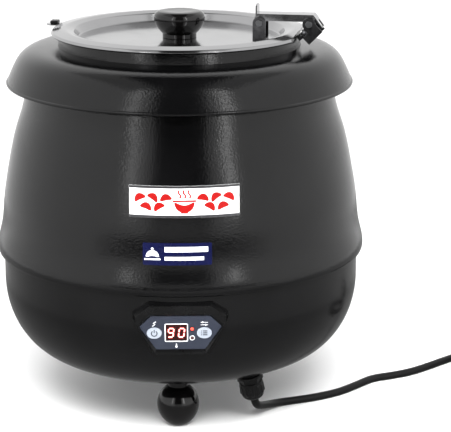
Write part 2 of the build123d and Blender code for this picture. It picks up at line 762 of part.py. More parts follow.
def foot(x, y):
    """Egg-shaped bakelite ball foot with a short stub, bored for its stud."""
    half = FOOT_TOP_Z / 2
    ball = Spline(
        (FOOT_FLAT_R, 0),
        (14.2, 5.0),
        (FOOT_R, 23.0),
        (15.4, 37.6),
        (0, FOOT_TOP_Z),
        tangents=[(1, 0), (-1, 0)],
    )
    base = Line((0, 0), (FOOT_FLAT_R, 0))
    body = turned(make_face([base, ball, Line((0, FOOT_TOP_Z), (0, 0))]))
    stub_height = UNDERSIDE_Z - half
    stub = Pos(0, 0, half + stub_height / 2) * Cylinder(9.9, stub_height)
    bore = Pos(0, 0, UNDERSIDE_Z - 9) * Cylinder(4.0, 18)
    return Pos(x, y, 0) * (body + stub - bore)


def foot_studs():
    """Threaded studs from the feet up through the lower shell."""
    length = 34.0
    stud = Cylinder(4.0, length)
    low = UNDERSIDE_Z - 18
    return Compound(children=[Pos(x, y, low + length / 2) * stud for x, y in FEET.values()])


def foot_nuts():
    """Hexagon nuts with washers on the studs, inside the lower shell."""
    nuts = []
    base = UNDERSIDE_Z + SHELL_T
    for x, y in FEET.values():
        washer = Pos(x, y, base + 0.8) * Cylinder(9, 1.6)
        nut = Pos(x, y, base + 1.6) * extrude(RegularPolygon(7.5, 6), 6.5)
        nuts.append(washer + nut - Pos(x, y, base + 4) * Cylinder(4.0, 20))
    return Compound(children=nuts)


# --- gland, cord and plug ---------------------------------------------------------------------

def gland_ring(start, end, outer, inner):
    """A hollow cylinder on the gland's axis between two distances below the shell."""
    middle = (start + end) / 2
    length = end - start
    return gland_place(middle) * (Cylinder(outer, length) - Cylinder(inner, length + 1))


def gland_body():
    """Threaded gland body with a hexagon flange outside the shell."""
    thread = gland_ring(-9, 9, 9.6, 4.3)
    hexagon = gland_place(4) * extrude(RegularPolygon(13.2, 6), 4.6)
    hexagon -= gland_place(6) * Cylinder(9.0, 12)
    return thread + hexagon


def gland_nut():
    """Domed clamping nut with grip ribs."""
    nut = gland_ring(9.2, GLAND_LENGTH - 6, 12.0, 9.8)
    cap = gland_ring(GLAND_LENGTH - 6, GLAND_LENGTH, 12.0, 4.05)
    rib = Pos(12.0, 0, 0) * Cylinder(0.9, GLAND_LENGTH - 13)
    ribs = [gland_place(GLAND_LENGTH / 2 + 3) * Rot(0, 0, 30 * i) * rib for i in range(12)]
    return nut + cap + ribs


def gland_seal():
    """Rubber washer between the gland's flange and the shell."""
    return gland_ring(1.9, 4.0, 12.4, 9.65)


def gland_locknut():
    """Thin nut on the gland's thread, inside the shell."""
    nut = gland_place(-8.4) * extrude(RegularPolygon(13.0, 6), 4.2)
    return nut - gland_place(-6) * Cylinder(9.65, 16)


def cord_coil():
    """The put-away length as one ring."""
    ring = Cylinder(COIL_R + COIL_HALF, COIL_HEIGHT) - Cylinder(COIL_R - COIL_HALF, COIL_HEIGHT)
    ring = fillet(ring.edges().filter_by(GeomType.CIRCLE), 3.5)
    return Pos(COIL_AT[0], COIL_AT[1], COIL_HEIGHT / 2) * ring


def coil_tie():
    """Strap round the coil's turns, at the side away from the kettle."""
    width, band = 8.0, 1.2
    outer = Box(2 * COIL_HALF + 2 * band, width, COIL_HEIGHT + band)
    inner = Box(2 * COIL_HALF - 0.6, width + 2, COIL_HEIGHT - band)
    strap = Pos(COIL_R, 0, (COIL_HEIGHT + band) / 2) * (outer - inner)
    return Pos(COIL_AT[0], COIL_AT[1], 0) * Rot(0, 0, -20) * strap


def plug_body():
    """Straight moulded mains plug with a tapered strain relief, lying on its side."""
    relief = 24.0
    outline = [
        (0, 0),
        (5.6, 0),
        (8.6, relief),
        (12.5, relief + 3),
        (17.0, relief + 14),
        (PLUG_R, relief + 24),
        (PLUG_R, relief + 46),
        (17.8, relief + 47),
        (0, relief + 47),
    ]
    return plug_place(0) * turned(make_face(Polyline(*outline, close=True)))


def plug_place(distance):
    """A plane on the plug's axis, this far along it, facing the way the plug points."""
    way = Vector(1, 0, 0).rotate(Axis.Z, PLUG_AZIMUTH)
    return Plane(origin=Vector(*TAIL_ROUTE[-1]) + way * distance, x_dir=(0, 0, 1), z_dir=way)


def plug_pins():
    """Two contact pins in the plug's face, one above the other."""
    pin = Cylinder(2.4, 19)
    pin = fillet(pin.edges().sort_by(Axis.Z)[-1], 1.2)
    return Compound(children=[plug_place(80.5) * Pos(9.5 * side, 0, 0) * pin for side in (-1, 1)])


def terminal_block():
    """Ceramic terminal block beside the gland, inside the bottom."""
    base = UNDERSIDE_Z + SHELL_T
    block = Pos(33, -96, base + 7) * Box(28, 18, 14)
    for x in (24, 33, 42):
        block -= Pos(x, -96, base + 14) * Cylinder(2.6, 8)
    return block


def inner_lead():
    """The supply lead's inner end, from the gland towards the terminal block."""
    return gland_place(4) * Cylinder(4.0, 48)


# --- write every sub-part -------------------------------------------------------------------

def build():
    os.makedirs("parts", exist_ok=True)
    save("upper_shell", upper_shell())
    save("lower_shell", lower_shell())
    save("base_plate", base_plate())
    save("base_screws", base_screws())
    save("seam_rivets", seam_rivets())
    save("water_tank", water_tank())
    save("insulation", insulation())
    save("insert_pot", insert_pot())
    save("heating_element", heating_element())
    save("element_clamp", element_clamp())
    save("thermal_cutout", thermal_cutout())
    save("temperature_sensor", temperature_sensor())
    save("collar", collar())
    save("neck_ring", neck_ring())
    save("neck_clevis", neck_clevis())
    save("clevis_bolt", clevis_bolt())
    save("clevis_nut", clevis_nut())
    save("neck_pin", hinge_pin(NECK_PIN_U, 3.0))
    save("hinge_arm", hinge_arm())
    save("lid_pin", hinge_pin(LID_PIN_U, 3.0))
    save("lid_clevis", lid_clevis())
    save("clevis_rivets", clevis_rivets())
    save("lid", lid())
    save("lid_knob", lid_knob())
    save("knob_screw", knob_screw())
    save("knob_washer", knob_washer())
    save("lift_tongue", lift_tongue())
    save("tongue_grip", tongue_grip())
    save("panel_bezel", panel_bezel())
    save("panel_label", panel_label())
    save("power_button", button(POWER_X))
    save("set_button", button(SET_X))
    save("button_switches", button_switches())
    save("display_window", display_window())
    save("display_module", display_module())
    save("control_board", control_board())
    save("indicator_lenses", indicator_lenses())
    save("board_screws", board_screws())
    save("sign_plate", shell_patch(SIGN_X, SIGN_Z, SIGN_SIZE, 0.6))
    save("badge", shell_patch(BADGE_X, BADGE_Z, BADGE_SIZE, 0.5))
    for side, (x, y) in FEET.items():
        save(f"foot_{side}", foot(x, y))
    save("foot_studs", foot_studs())
    save("foot_nuts", foot_nuts())
    save("gland_body", gland_body())
    save("gland_nut", gland_nut())
    save("gland_seal", gland_seal())
    save("gland_locknut", gland_locknut())
    save("inner_lead", inner_lead())
    save("terminal_block", terminal_block())
    cord, cord_length = tube(CORD_ROUTE, CORD_D)
    tail, tail_length = tube(TAIL_ROUTE, CORD_D)
    turns = (CORD_LENGTH - cord_length - tail_length) / (2 * math.pi * COIL_R)
    print("turns in the coil", round(turns, 2))
    save("power_cord", cord)
    save("cord_tail", tail)
    save("cord_coil", cord_coil())
    save("coil_tie", coil_tie())
    save("plug_body", plug_body())
    save("plug_pins", plug_pins())


build()
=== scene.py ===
"""Electric soup kettle: the finished surfaces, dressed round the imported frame."""

from __future__ import annotations

import json
import logging
import math
from collections.abc import Callable, Sequence
from dataclasses import dataclass
from enum import Enum

import bmesh
import bpy
import numpy as np
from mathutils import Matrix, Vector


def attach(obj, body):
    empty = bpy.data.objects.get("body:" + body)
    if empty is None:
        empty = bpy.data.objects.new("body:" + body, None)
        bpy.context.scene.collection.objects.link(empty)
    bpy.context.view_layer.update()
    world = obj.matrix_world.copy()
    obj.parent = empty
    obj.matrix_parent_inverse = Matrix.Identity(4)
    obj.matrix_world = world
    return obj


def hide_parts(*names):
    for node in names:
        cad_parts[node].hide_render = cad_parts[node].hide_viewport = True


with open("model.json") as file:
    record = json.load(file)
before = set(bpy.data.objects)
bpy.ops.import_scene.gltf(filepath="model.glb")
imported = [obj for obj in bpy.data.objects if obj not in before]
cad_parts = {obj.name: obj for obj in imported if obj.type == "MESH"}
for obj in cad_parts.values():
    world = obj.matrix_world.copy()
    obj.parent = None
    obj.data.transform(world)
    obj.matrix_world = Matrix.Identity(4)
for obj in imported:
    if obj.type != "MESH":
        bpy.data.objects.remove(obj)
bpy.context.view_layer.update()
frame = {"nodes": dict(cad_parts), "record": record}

LOG = logging.getLogger("soup_kettle")
MM = 0.001
TURN = 2 * math.pi
HINGE_AZIMUTH = math.radians(-11.0)
FEET = {"front": (-4.0, -96.0), "left": (-60.0, 85.0), "right": (60.0, 85.0)}
Place = tuple[float, float, float]
Tone = tuple[float, float, float]


# --- shapes as arrays -----------------------------------------------------------------


def spline(
    points: Sequence[tuple[float, float]],
    count: int,
    start: tuple[float, float] | None = None,
    end: tuple[float, float] | None = None,
) -> np.ndarray:
    """A cubic spline through points, in chord length, sampled evenly.

    Between two points the curve is the cubic whose slopes m solve the usual
    tridiagonal system, with no bending at a free end and a given slope at a held one.

    Args:
        points: The points that the curve goes through.
        count: How many samples to return.
        start: Direction at the first point, or None where the end is free.
        end: Direction at the last point, or None where the end is free.

    Returns:
        An array of count points.
    """
    p = np.asarray(points, float)
    n = len(p)
    chord = np.linalg.norm(np.diff(p, axis=0), axis=1)
    t = np.concatenate([[0.0], np.cumsum(chord)])
    matrix = np.zeros((n, n))
    right = np.zeros((n, p.shape[1]))
    inner = np.arange(1, n - 1)
    before, after = chord[:-1], chord[1:]
    matrix[inner, inner - 1] = after
    matrix[inner, inner] = 2 * (before + after)
    matrix[inner, inner + 1] = before
    rise = np.diff(p, axis=0) / chord[:, None]
    right[1:-1] = 3 * (after[:, None] * rise[:-1] + before[:, None] * rise[1:])
    for row, way, near, first in ((0, start, 1, 0), (n - 1, end, n - 2, n - 2)):
        if way is None:
            matrix[row, row], matrix[row, near] = 2.0, 1.0
            right[row] = 3 * rise[first]
        else:
            matrix[row, row] = 1.0
            right[row] = np.asarray(way, float) / np.linalg.norm(way)
    slope = np.linalg.solve(matrix, right)
    s = np.linspace(0, t[-1], count)
    i = np.clip(np.searchsorted(t, s, side="right") - 1, 0, n - 2)
    u = ((s - t[i]) / chord[i])[:, None]
    h = chord[i][:, None]
    return (
        (2 * u**3 - 3 * u**2 + 1) * p[i]
        + (u**3 - 2 * u**2 + u) * h * slope[i]
        + (3 * u**2 - 2 * u**3) * p[i + 1]
        + (u**3 - u**2) * h * slope[i + 1]
    )


def rounded(
    points: Sequence[tuple[float, float]], radii: Sequence[float], steps: int = 8
) -> np.ndarray:
    """A run of straight lines whose inner corners are turned into arcs.

    At a corner the arc's centre lies on the bisector, at radius over the sine of half
    the opening angle, and the arc is swept between the two tangent points.

    Args:
        points: Corners of the run.
        radii: One radius for each inner corner.
        steps: Facets in each arc.

    Returns:
        The run's points.
    """
    p = np.asarray(points, float)
    parts = [p[:1]]
    for i, radius in enumerate(radii, start=1):
        back = (p[i - 1] - p[i]) / np.linalg.norm(p[i - 1] - p[i])
        ahead = (p[i + 1] - p[i]) / np.linalg.norm(p[i + 1] - p[i])
        half = math.acos(float(np.clip(back @ ahead, -1, 1))) / 2
        if radius <= 0 or half > 1.57:
            parts.append(p[i : i + 1])
            continue
        middle = (back + ahead) / np.linalg.norm(back + ahead)
        centre = p[i] + middle * radius / math.sin(half)
        a = p[i] + back * radius / math.tan(half) - centre
        b = p[i] + ahead * radius / math.tan(half) - centre
        span = math.pi - 2 * half
        f = np.linspace(0, 1, steps + 1)[:, None]
        arc = (np.sin((1 - f) * span) * a + np.sin(f * span) * b) / math.sin(span)
        parts.append(centre + arc)
    parts.append(p[-1:])
    return np.concatenate(parts)


def offset_line(line: np.ndarray, distance: float) -> np.ndarray:
    """The line moved to its left: each point goes along the mean of its two normals.

    Args:
        line: Points of an open line.
        distance: How far to move it.

    Returns:
        As many points as the line has.
    """
    way = np.gradient(line, axis=0)
    way /= np.linalg.norm(way, axis=1)[:, None]
    return line + distance * np.stack([-way[:, 1], way[:, 0]], axis=1)


def walled(line: np.ndarray, thickness: float) -> np.ndarray:
    """A closed section of sheet: the line, then back along it a thickness away."""
    return np.concatenate([line, offset_line(line, thickness)[::-1]])


def grid_mesh(
    name: str,
    points: np.ndarray,
    close_rows: bool = False,
    close_columns: bool = False,
    crease: float = 32.0,
) -> bpy.types.Object:
    """A surface from a grid of points: neighbours in both directions share a face.

    Args:
        name: Name of the piece.
        points: Rows by columns by three, in metres.
        close_rows: Whether the last row joins the first.
        close_columns: Whether the last column joins the first.
        crease: Edges that turn by more than this many degrees stay sharp.

    Returns:
        The piece, with its doubles merged and its faces outwards.
    """
    rows, columns = points.shape[:2]
    a, b = np.meshgrid(
        np.arange(rows if close_rows else rows - 1),
        np.arange(columns if close_columns else columns - 1),
        indexing="ij",
    )
    c, d = (a + 1) % rows, (b + 1) % columns
    corners = [a * columns + b, a * columns + d, c * columns + d, c * columns + b]
    faces = np.stack(corners, axis=-1).reshape(-1, 4)
    mesh = bpy.data.meshes.new(name)
    mesh.from_pydata(points.reshape(-1, 3), [], faces)
    return placed(name, mesh, crease)


def placed(name: str, mesh: bpy.types.Mesh, crease: float) -> bpy.types.Object:
    """Merge a mesh's doubles, turn its faces outwards, smooth it and show it.

    Args:
        name: Name of the piece.
        mesh: The mesh to finish.
        crease: Edges that turn by more than this many degrees stay sharp.

    Returns:
        The piece.
    """
    work = bmesh.new()
    work.from_mesh(mesh)
    bmesh.ops.remove_doubles(work, verts=work.verts, dist=2e-6)
    bmesh.ops.dissolve_degenerate(work, edges=work.edges, dist=1e-7)
    bmesh.ops.recalc_face_normals(work, faces=work.faces)
    work.to_mesh(mesh)
    work.free()
    mesh.shade_smooth()
    mesh.set_sharp_from_angle(angle=math.radians(crease))
    piece = bpy.data.objects.new(name, mesh)
    bpy.context.scene.collection.objects.link(piece)
    return piece


def joined(name: str, pieces: Sequence[bpy.types.Object]) -> bpy.types.Object:
    """Make several pieces one, with their faces end to end.

    Args:
        name: Name of the whole.
        pieces: The pieces, which go.

    Returns:
        The whole.
    """
    work = bmesh.new()
    for piece in pieces:
        work.from_mesh(piece.data)
        bpy.data.objects.remove(piece)
    mesh = bpy.data.meshes.new(name)
    work.to_mesh(mesh)
    work.free()
    whole = bpy.data.objects.new(name, mesh)
    bpy.context.scene.collection.objects.link(whole)
    return whole


def turned(
    name: str,
    section: np.ndarray,
    centre: tuple[float, float] = (0.0, 0.0),
    segments: int = 256,
    crease: float = 32.0,
    shape: Callable[[np.ndarray], np.ndarray] | None = None,
) -> bpy.types.Object:
    """A closed (radius, height) section turned about an upright axis.

    A point is (r cos a, r sin a, z), with a over a full turn.

    Args:
        name: Name of the piece.
        section: Closed section in millimetres.
        centre: The axis, in millimetres.
        segments: Facets in the turn.
        crease: Edges that turn by more than this many degrees stay sharp.
        shape: Changes the grid of points, in millimetres, where the piece isn't round.

    Returns:
        The piece.
    """
    angle = np.arange(segments) * TURN / segments
    r, z = section[:, :1], section[:, 1:]
    x = centre[0] + r * np.cos(angle)
    y = centre[1] + r * np.sin(angle)
    points = np.stack([x, y, np.broadcast_to(z, x.shape)], axis=-1)
    if shape is not None:
        points = shape(points)
    return grid_mesh(name, points * MM, True, True, crease)


@dataclass(frozen=True)
class Axis:
    """A straight line with two directions across it, for a piece turned about it."""

    origin: Place
    way: Place
    up: Place = (0.0, 0.0, 1.0)

    def frame(self) -> tuple[np.ndarray, np.ndarray, np.ndarray]:
        """The unit direction along the axis and the two across it.

        Returns:
            The three directions.
        """
        along = np.asarray(self.way, float)
        along /= np.linalg.norm(along)
        side = np.cross(self.up, along)
        side /= np.linalg.norm(side)
        return along, side, np.cross(along, side)

    def turned(
        self,
        name: str,
        section: np.ndarray,
        segments: int = 96,
        squeeze: Callable[[np.ndarray, np.ndarray], np.ndarray] | None = None,
        crease: float = 32.0,
    ) -> bpy.types.Object:
        """A (radius, distance) section turned about this axis.

        Args:
            name: Name of the piece.
            section: Closed section in millimetres, distance along the axis.
            segments: Facets in the turn.
            squeeze: Factor on the radius from the angle and the distance.
            crease: Edges that turn by more than this many degrees stay sharp.

        Returns:
            The piece.
        """
        along, side, top = self.frame()
        angle = np.arange(segments) * TURN / segments
        r, s = np.broadcast_arrays(section[:, :1], angle)
        distance = np.broadcast_to(section[:, 1:], r.shape)
        if squeeze is not None:
            r = r * squeeze(s, distance)
        points = (
            np.asarray(self.origin)
            + distance[..., None] * along
            + (r * np.cos(s))[..., None] * side
            + (r * np.sin(s))[..., None] * top
        )
        return grid_mesh(name, points * MM, True, True, crease)


def refined_copy(
    node: str, bevel: float = 0.0, crease: float = 32.0, name: str | None = None
) -> bpy.types.Object:
    """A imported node's surface again, whole, with its edges rounded over.

    Args:
        node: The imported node, whose own mesh isn't touched.
        bevel: Width of the rounded edges in millimetres.
        crease: Edges that turn by more than this many degrees stay sharp.
        name: Name of the piece, or None for one made from the node's.

    Returns:
        The piece, which replaces the node.
    """
    mesh = frame["nodes"][node].data.copy()
    mesh.materials.clear()
    for attribute in [a.name for a in mesh.attributes if a.name == "custom_normal"]:
        mesh.attributes.remove(mesh.attributes[attribute])
    work = bmesh.new()
    work.from_mesh(mesh)
    bmesh.ops.remove_doubles(work, verts=work.verts, dist=5e-6)
    bmesh.ops.dissolve_limit(
        work, angle_limit=math.radians(0.6), verts=work.verts, edges=work.edges
    )
    work.to_mesh(mesh)
    work.free()
    piece = placed(name or node + "_finished", mesh, crease)
    if bevel:
        rounding = piece.modifiers.new("rounded_edges", "BEVEL")
        rounding.width = bevel * MM
        rounding.segments = 3
        rounding.limit_method = "ANGLE"
        rounding.angle_limit = math.radians(crease)
        rounding.harden_normals = True
    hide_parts(node)
    return piece


# --- finishes -------------------------------------------------------------------------


class Relief(Enum):
    """The fine relief that a surface shows."""

    PEBBLE = "pebble"
    TURNED = "turned"
    STRAIGHT = "straight"
    CAST = "cast"


class EffectGroups:
    """Shader node groups that several finishes use, each built once."""

    def __init__(self) -> None:
        """Start with no group built."""
        self.built: dict[str, bpy.types.NodeTree] = {}

    def _open(
        self, name: str, inputs: dict[str, str], output: tuple[str, str]
    ) -> tuple[bpy.types.NodeTree, bpy.types.Node, bpy.types.Node]:
        """Start a group with named sockets.

        Args:
            name: Name of the group.
            inputs: Socket names and types.
            output: Name and type of the one output.

        Returns:
            The tree, its input node and its output node.
        """
        tree = bpy.data.node_groups.new(name, "ShaderNodeTree")
        for socket, kind in inputs.items():
            tree.interface.new_socket(name=socket, in_out="INPUT", socket_type=kind)
        tree.interface.new_socket(
            name=output[0], in_out="OUTPUT", socket_type=output[1]
        )
        self.built[name] = tree
        return (
            tree,
            tree.nodes.new("NodeGroupInput"),
            tree.nodes.new("NodeGroupOutput"),
        )

    def _noise(
        self, tree: bpy.types.NodeTree, detail: float, roughness: float
    ) -> bpy.types.Node:
        """A noise texture in a tree, with its detail and roughness set.

        Args:
            tree: The tree.
            detail: How many octaves of noise.
            roughness: How strong each octave is, next to the one before.

        Returns:
            The texture's node.
        """
        noise = tree.nodes.new("ShaderNodeTexNoise")
        noise.inputs["Detail"].default_value = detail
        noise.inputs["Roughness"].default_value = roughness
        return noise

    def mottle(self) -> bpy.types.NodeTree:
        """Two colours, mixed by soft cloudy noise.

        Returns:
            The group, with the output Colour.
        """
        if "mottle" in self.built:
            return self.built["mottle"]
        sockets = {
            "Place": "NodeSocketVector",
            "Scale": "NodeSocketFloat",
            "First": "NodeSocketColor",
            "Second": "NodeSocketColor",
        }
        tree, start, end = self._open("mottle", sockets, ("Colour", "NodeSocketColor"))
        noise = self._noise(tree, 4.0, 0.55)
        spread = tree.nodes.new("ShaderNodeMapRange")
        spread.inputs["From Min"].default_value = 0.3
        spread.inputs["From Max"].default_value = 0.7
        mix = tree.nodes.new("ShaderNodeMix")
        mix.data_type = "RGBA"
        link = tree.links.new
        link(start.outputs["Place"], noise.inputs["Vector"])
        link(start.outputs["Scale"], noise.inputs["Scale"])
        link(noise.outputs["Fac"], spread.inputs["Value"])
        link(spread.outputs["Result"], mix.inputs["Factor"])
        link(start.outputs["First"], mix.inputs[6])
        link(start.outputs["Second"], mix.inputs[7])
        link(mix.outputs[2], end.inputs["Colour"])
        return tree

    def rubbed(self) -> bpy.types.NodeTree:
        """Roughness that wanders between two values: handling, wiping and fine dust.

        Returns:
            The group, with the output Roughness.
        """
        if "rubbed" in self.built:
            return self.built["rubbed"]
        sockets = {
            "Place": "NodeSocketVector",
            "Scale": "NodeSocketFloat",
            "Low": "NodeSocketFloat",
            "High": "NodeSocketFloat",
        }
        output = ("Roughness", "NodeSocketFloat")
        tree, start, end = self._open("rubbed", sockets, output)
        noise = self._noise(tree, 5.0, 0.6)
        spread = tree.nodes.new("ShaderNodeMapRange")
        spread.inputs["From Min"].default_value = 0.3
        spread.inputs["From Max"].default_value = 0.72
        link = tree.links.new
        link(start.outputs["Place"], noise.inputs["Vector"])
        link(start.outputs["Scale"], noise.inputs["Scale"])
        link(noise.outputs["Fac"], spread.inputs["Value"])
        link(start.outputs["Low"], spread.inputs["To Min"])
        link(start.outputs["High"], spread.inputs["To Max"])
        link(spread.outputs["Result"], end.inputs["Roughness"])
        return tree

    def pebble(self, sharp: bool) -> bpy.types.NodeTree:
        """Rounded cells: fine-textured enamel, or where not sharp, a cast surface.

        Args:
            sharp: Whether the cells stand out from one another.

        Returns:
            The group, with the output Height.
        """
        name = "enamel_pebble" if sharp else "cast_skin"
        if name in self.built:
            return self.built[name]
        sockets = {"Place": "NodeSocketVector", "Scale": "NodeSocketFloat"}
        tree, start, end = self._open(name, sockets, ("Height", "NodeSocketFloat"))
        link = tree.links.new
        noise = self._noise(tree, 2.0 if sharp else 4.0, 0.5)
        link(start.outputs["Place"], noise.inputs["Vector"])
        link(start.outputs["Scale"], noise.inputs["Scale"])
        if not sharp:
            link(noise.outputs["Fac"], end.inputs["Height"])
            return tree
        cells = tree.nodes.new("ShaderNodeTexVoronoi")
        cells.feature = "SMOOTH_F1"
        cells.inputs["Smoothness"].default_value = 0.8
        link(start.outputs["Place"], cells.inputs["Vector"])
        link(start.outputs["Scale"], cells.inputs["Scale"])
        both = tree.nodes.new("ShaderNodeMath")
        both.operation = "MULTIPLY_ADD"
        both.inputs[1].default_value = -0.6
        link(cells.outputs["Distance"], both.inputs[0])
        link(noise.outputs["Fac"], both.inputs[2])
        link(both.outputs[0], end.inputs["Height"])
        return tree

    def grain(self, round_axis: bool) -> bpy.types.NodeTree:
        """Fine parallel lines: rings about the kettle's axis, or lines along a sheet.

        For rings the noise is read at (radius, height), and otherwise at a place whose
        x is stretched out.

        Args:
            round_axis: Whether the lines are rings.

        Returns:
            The group, with the output Height.
        """
        name = "turned_grain" if round_axis else "straight_grain"
        if name in self.built:
            return self.built[name]
        sockets = {"Place": "NodeSocketVector", "Scale": "NodeSocketFloat"}
        tree, start, end = self._open(name, sockets, ("Height", "NodeSocketFloat"))
        link = tree.links.new
        noise = self._noise(tree, 3.0, 0.7)
        split = tree.nodes.new("ShaderNodeSeparateXYZ")
        gather = tree.nodes.new("ShaderNodeCombineXYZ")
        link(start.outputs["Place"], split.inputs[0])
        if round_axis:
            flat = tree.nodes.new("ShaderNodeCombineXYZ")
            radius = tree.nodes.new("ShaderNodeVectorMath")
            radius.operation = "LENGTH"
            link(split.outputs["X"], flat.inputs["X"])
            link(split.outputs["Y"], flat.inputs["Y"])
            link(flat.outputs[0], radius.inputs[0])
            link(radius.outputs["Value"], gather.inputs["X"])
            link(split.outputs["Z"], gather.inputs["Z"])
        else:
            stretch = tree.nodes.new("ShaderNodeMath")
            stretch.operation = "MULTIPLY"
            stretch.inputs[1].default_value = 0.04
            link(split.outputs["X"], stretch.inputs[0])
            link(stretch.outputs[0], gather.inputs["X"])
            link(split.outputs["Y"], gather.inputs["Y"])
            link(split.outputs["Z"], gather.inputs["Z"])
        link(gather.outputs[0], noise.inputs["Vector"])
        link(start.outputs["Scale"], noise.inputs["Scale"])
        link(noise.outputs["Fac"], end.inputs["Height"])
        return tree

    def relief(self, kind: Relief) -> bpy.types.NodeTree:
        """The group that makes one kind of relief.

        Args:
            kind: Which relief.

        Returns:
            The group, with the output Height.
        """
        if kind in (Relief.PEBBLE, Relief.CAST):
            return self.pebble(kind is Relief.PEBBLE)
        return self.grain(kind is Relief.TURNED)


EFFECTS = EffectGroups()


@dataclass(frozen=True)
class Finish:
    """One finish: its tones, gloss, relief and glow. Sizes are in millimetres."""

    name: str
    slot: str
    tone: Tone
    shade: Tone
    metallic: float = 0.0
    low: float = 0.3
    high: float = 0.4
    patch: float = 25.0
    relief: Relief = Relief.CAST
    cell: float = 1.0
    depth: float = 0.01
    coat: float = 0.0
    coat_roughness: float = 0.04
    ior: float = 1.5
    glow: float = 0.0

    def material(self) -> bpy.types.Material:
        """Build the finish, or give the one already built.

        Returns:
            The material.
        """
        if self.name in bpy.data.materials:
            return bpy.data.materials[self.name]
        material = bpy.data.materials.new(self.name)
        material.use_nodes = True
        tree = material.node_tree
        shader = tree.nodes["Principled BSDF"]
        place = tree.nodes.new("ShaderNodeTexCoord").outputs["Object"]
        link = tree.links.new

        def effect(group: bpy.types.NodeTree, scale: float) -> bpy.types.Node:
            """Place a group in this material, read at the piece's own place.

            Args:
                group: The group.
                scale: Its scale, per metre.

            Returns:
                The group's node.
            """
            node = tree.nodes.new("ShaderNodeGroup")
            node.node_tree = group
            node.inputs["Scale"].default_value = scale
            link(place, node.inputs["Place"])
            return node

        tone = effect(EFFECTS.mottle(), 1 / (self.patch * MM))
        tone.inputs["First"].default_value = (*self.tone, 1)
        tone.inputs["Second"].default_value = (*self.shade, 1)
        link(tone.outputs["Colour"], shader.inputs["Base Color"])
        rubbed = effect(EFFECTS.rubbed(), 1.7 / (self.patch * MM))
        rubbed.inputs["Low"].default_value = self.low
        rubbed.inputs["High"].default_value = self.high
        link(rubbed.outputs["Roughness"], shader.inputs["Roughness"])
        relief = effect(EFFECTS.relief(self.relief), 1 / (self.cell * MM))
        bump = tree.nodes.new("ShaderNodeBump")
        bump.inputs["Strength"].default_value = 1.0
        bump.inputs["Distance"].default_value = self.depth * MM
        link(relief.outputs["Height"], bump.inputs["Height"])
        link(bump.outputs["Normal"], shader.inputs["Normal"])
        shader.inputs["Metallic"].default_value = self.metallic
        shader.inputs["IOR"].default_value = self.ior
        shader.inputs["Coat Weight"].default_value = self.coat
        shader.inputs["Coat Roughness"].default_value = self.coat_roughness
        if self.glow:
            link(tone.outputs["Colour"], shader.inputs["Emission Color"])
            shader.inputs["Emission Strength"].default_value = self.glow
        return material


ENAMEL = Finish(
    "black_enamel_sheet", "black_enamel", (0.001, 0.001, 0.0011),
    (0.0022, 0.0022, 0.0024), low=0.1, high=0.16, patch=60.0, relief=Relief.PEBBLE,
    cell=1.7, depth=0.11, ior=1.48,
)
POLISHED = Finish(
    "polished_lid_steel", "polished_steel", (0.41, 0.41, 0.415), (0.45, 0.45, 0.455),
    metallic=1.0, low=0.1, high=0.17, patch=50.0, relief=Relief.TURNED, cell=0.9,
    depth=0.0012,
)
BRIGHT = Finish(
    "bright_hinge_steel", "polished_steel", (0.42, 0.42, 0.43), (0.5, 0.5, 0.51),
    metallic=1.0, low=0.07, high=0.14, patch=12.0, relief=Relief.STRAIGHT, cell=0.3,
    depth=0.001,
)
# Painted shade: the clevises get a darkened copy of the hinge steel, standing in for
# the dark surroundings that they mirror.
CLEVIS_STEEL_PAINTED_SHADE = Finish(
    "clevis_steel_painted_shade", "polished_steel", (0.1, 0.1, 0.105), (0.2, 0.2, 0.205),
    metallic=1.0, low=0.1, high=0.2, patch=6.0, relief=Relief.STRAIGHT, cell=0.3,
    depth=0.002,
)
BRUSHED = Finish(
    "brushed_pot_steel", "brushed_steel", (0.5, 0.5, 0.505), (0.6, 0.6, 0.6),
    metallic=1.0, low=0.2, high=0.32, patch=40.0, relief=Relief.TURNED, cell=0.5,
    depth=0.004,
)
ZINC = Finish(
    "zinc_plated_steel", "zinc_steel", (0.3, 0.31, 0.33), (0.2, 0.2, 0.2), metallic=1.0,
    low=0.28, high=0.42, patch=8.0, cell=0.5, depth=0.004,
)
BAKELITE = Finish(
    "black_moulded_bakelite", "black_bakelite", (0.0015, 0.0014, 0.0015),
    (0.003, 0.0026, 0.0026), low=0.07, high=0.13, patch=20.0, cell=6.0, depth=0.012,
    ior=1.55,
)
NYLON = Finish(
    "black_satin_nylon", "black_nylon", (0.002, 0.002, 0.0021), (0.004, 0.004, 0.0043),
    low=0.24, high=0.34, patch=14.0, cell=0.35, depth=0.006, ior=1.38,
)
RUBBER = Finish(
    "black_cord_rubber", "black_rubber", (0.003, 0.003, 0.0031), (0.006, 0.006, 0.0062),
    low=0.36, high=0.5, patch=18.0, cell=0.5, depth=0.012, ior=1.33,
)
BRASS = Finish(
    "nickel_plated_brass", "nickel_brass", (0.62, 0.6, 0.55), (0.7, 0.68, 0.64),
    metallic=1.0, low=0.14, high=0.24, patch=6.0, relief=Relief.STRAIGHT, cell=0.25,
    depth=0.002,
)
LABEL_FILM = Finish(
    "slate_label_film", "label_grey", (0.018, 0.022, 0.036), (0.022, 0.027, 0.043),
    low=0.3, high=0.38, patch=9.0, cell=0.25, depth=0.003,
)
BUTTON = Finish(
    "pale_button_film", "button_white", (0.27, 0.3, 0.35), (0.31, 0.34, 0.39), low=0.28,
    high=0.36, patch=6.0, cell=0.3, depth=0.003,
)
WHITE_INK = Finish(
    "white_screen_ink", "button_white", (0.78, 0.8, 0.82), (0.7, 0.72, 0.75), low=0.4,
    high=0.5, patch=3.0, cell=0.2, depth=0.002,
)
DARK_INK = Finish(
    "slate_screen_ink", "label_grey", (0.008, 0.011, 0.018), (0.012, 0.016, 0.024),
    low=0.4, high=0.5, patch=3.0, cell=0.2, depth=0.002,
)
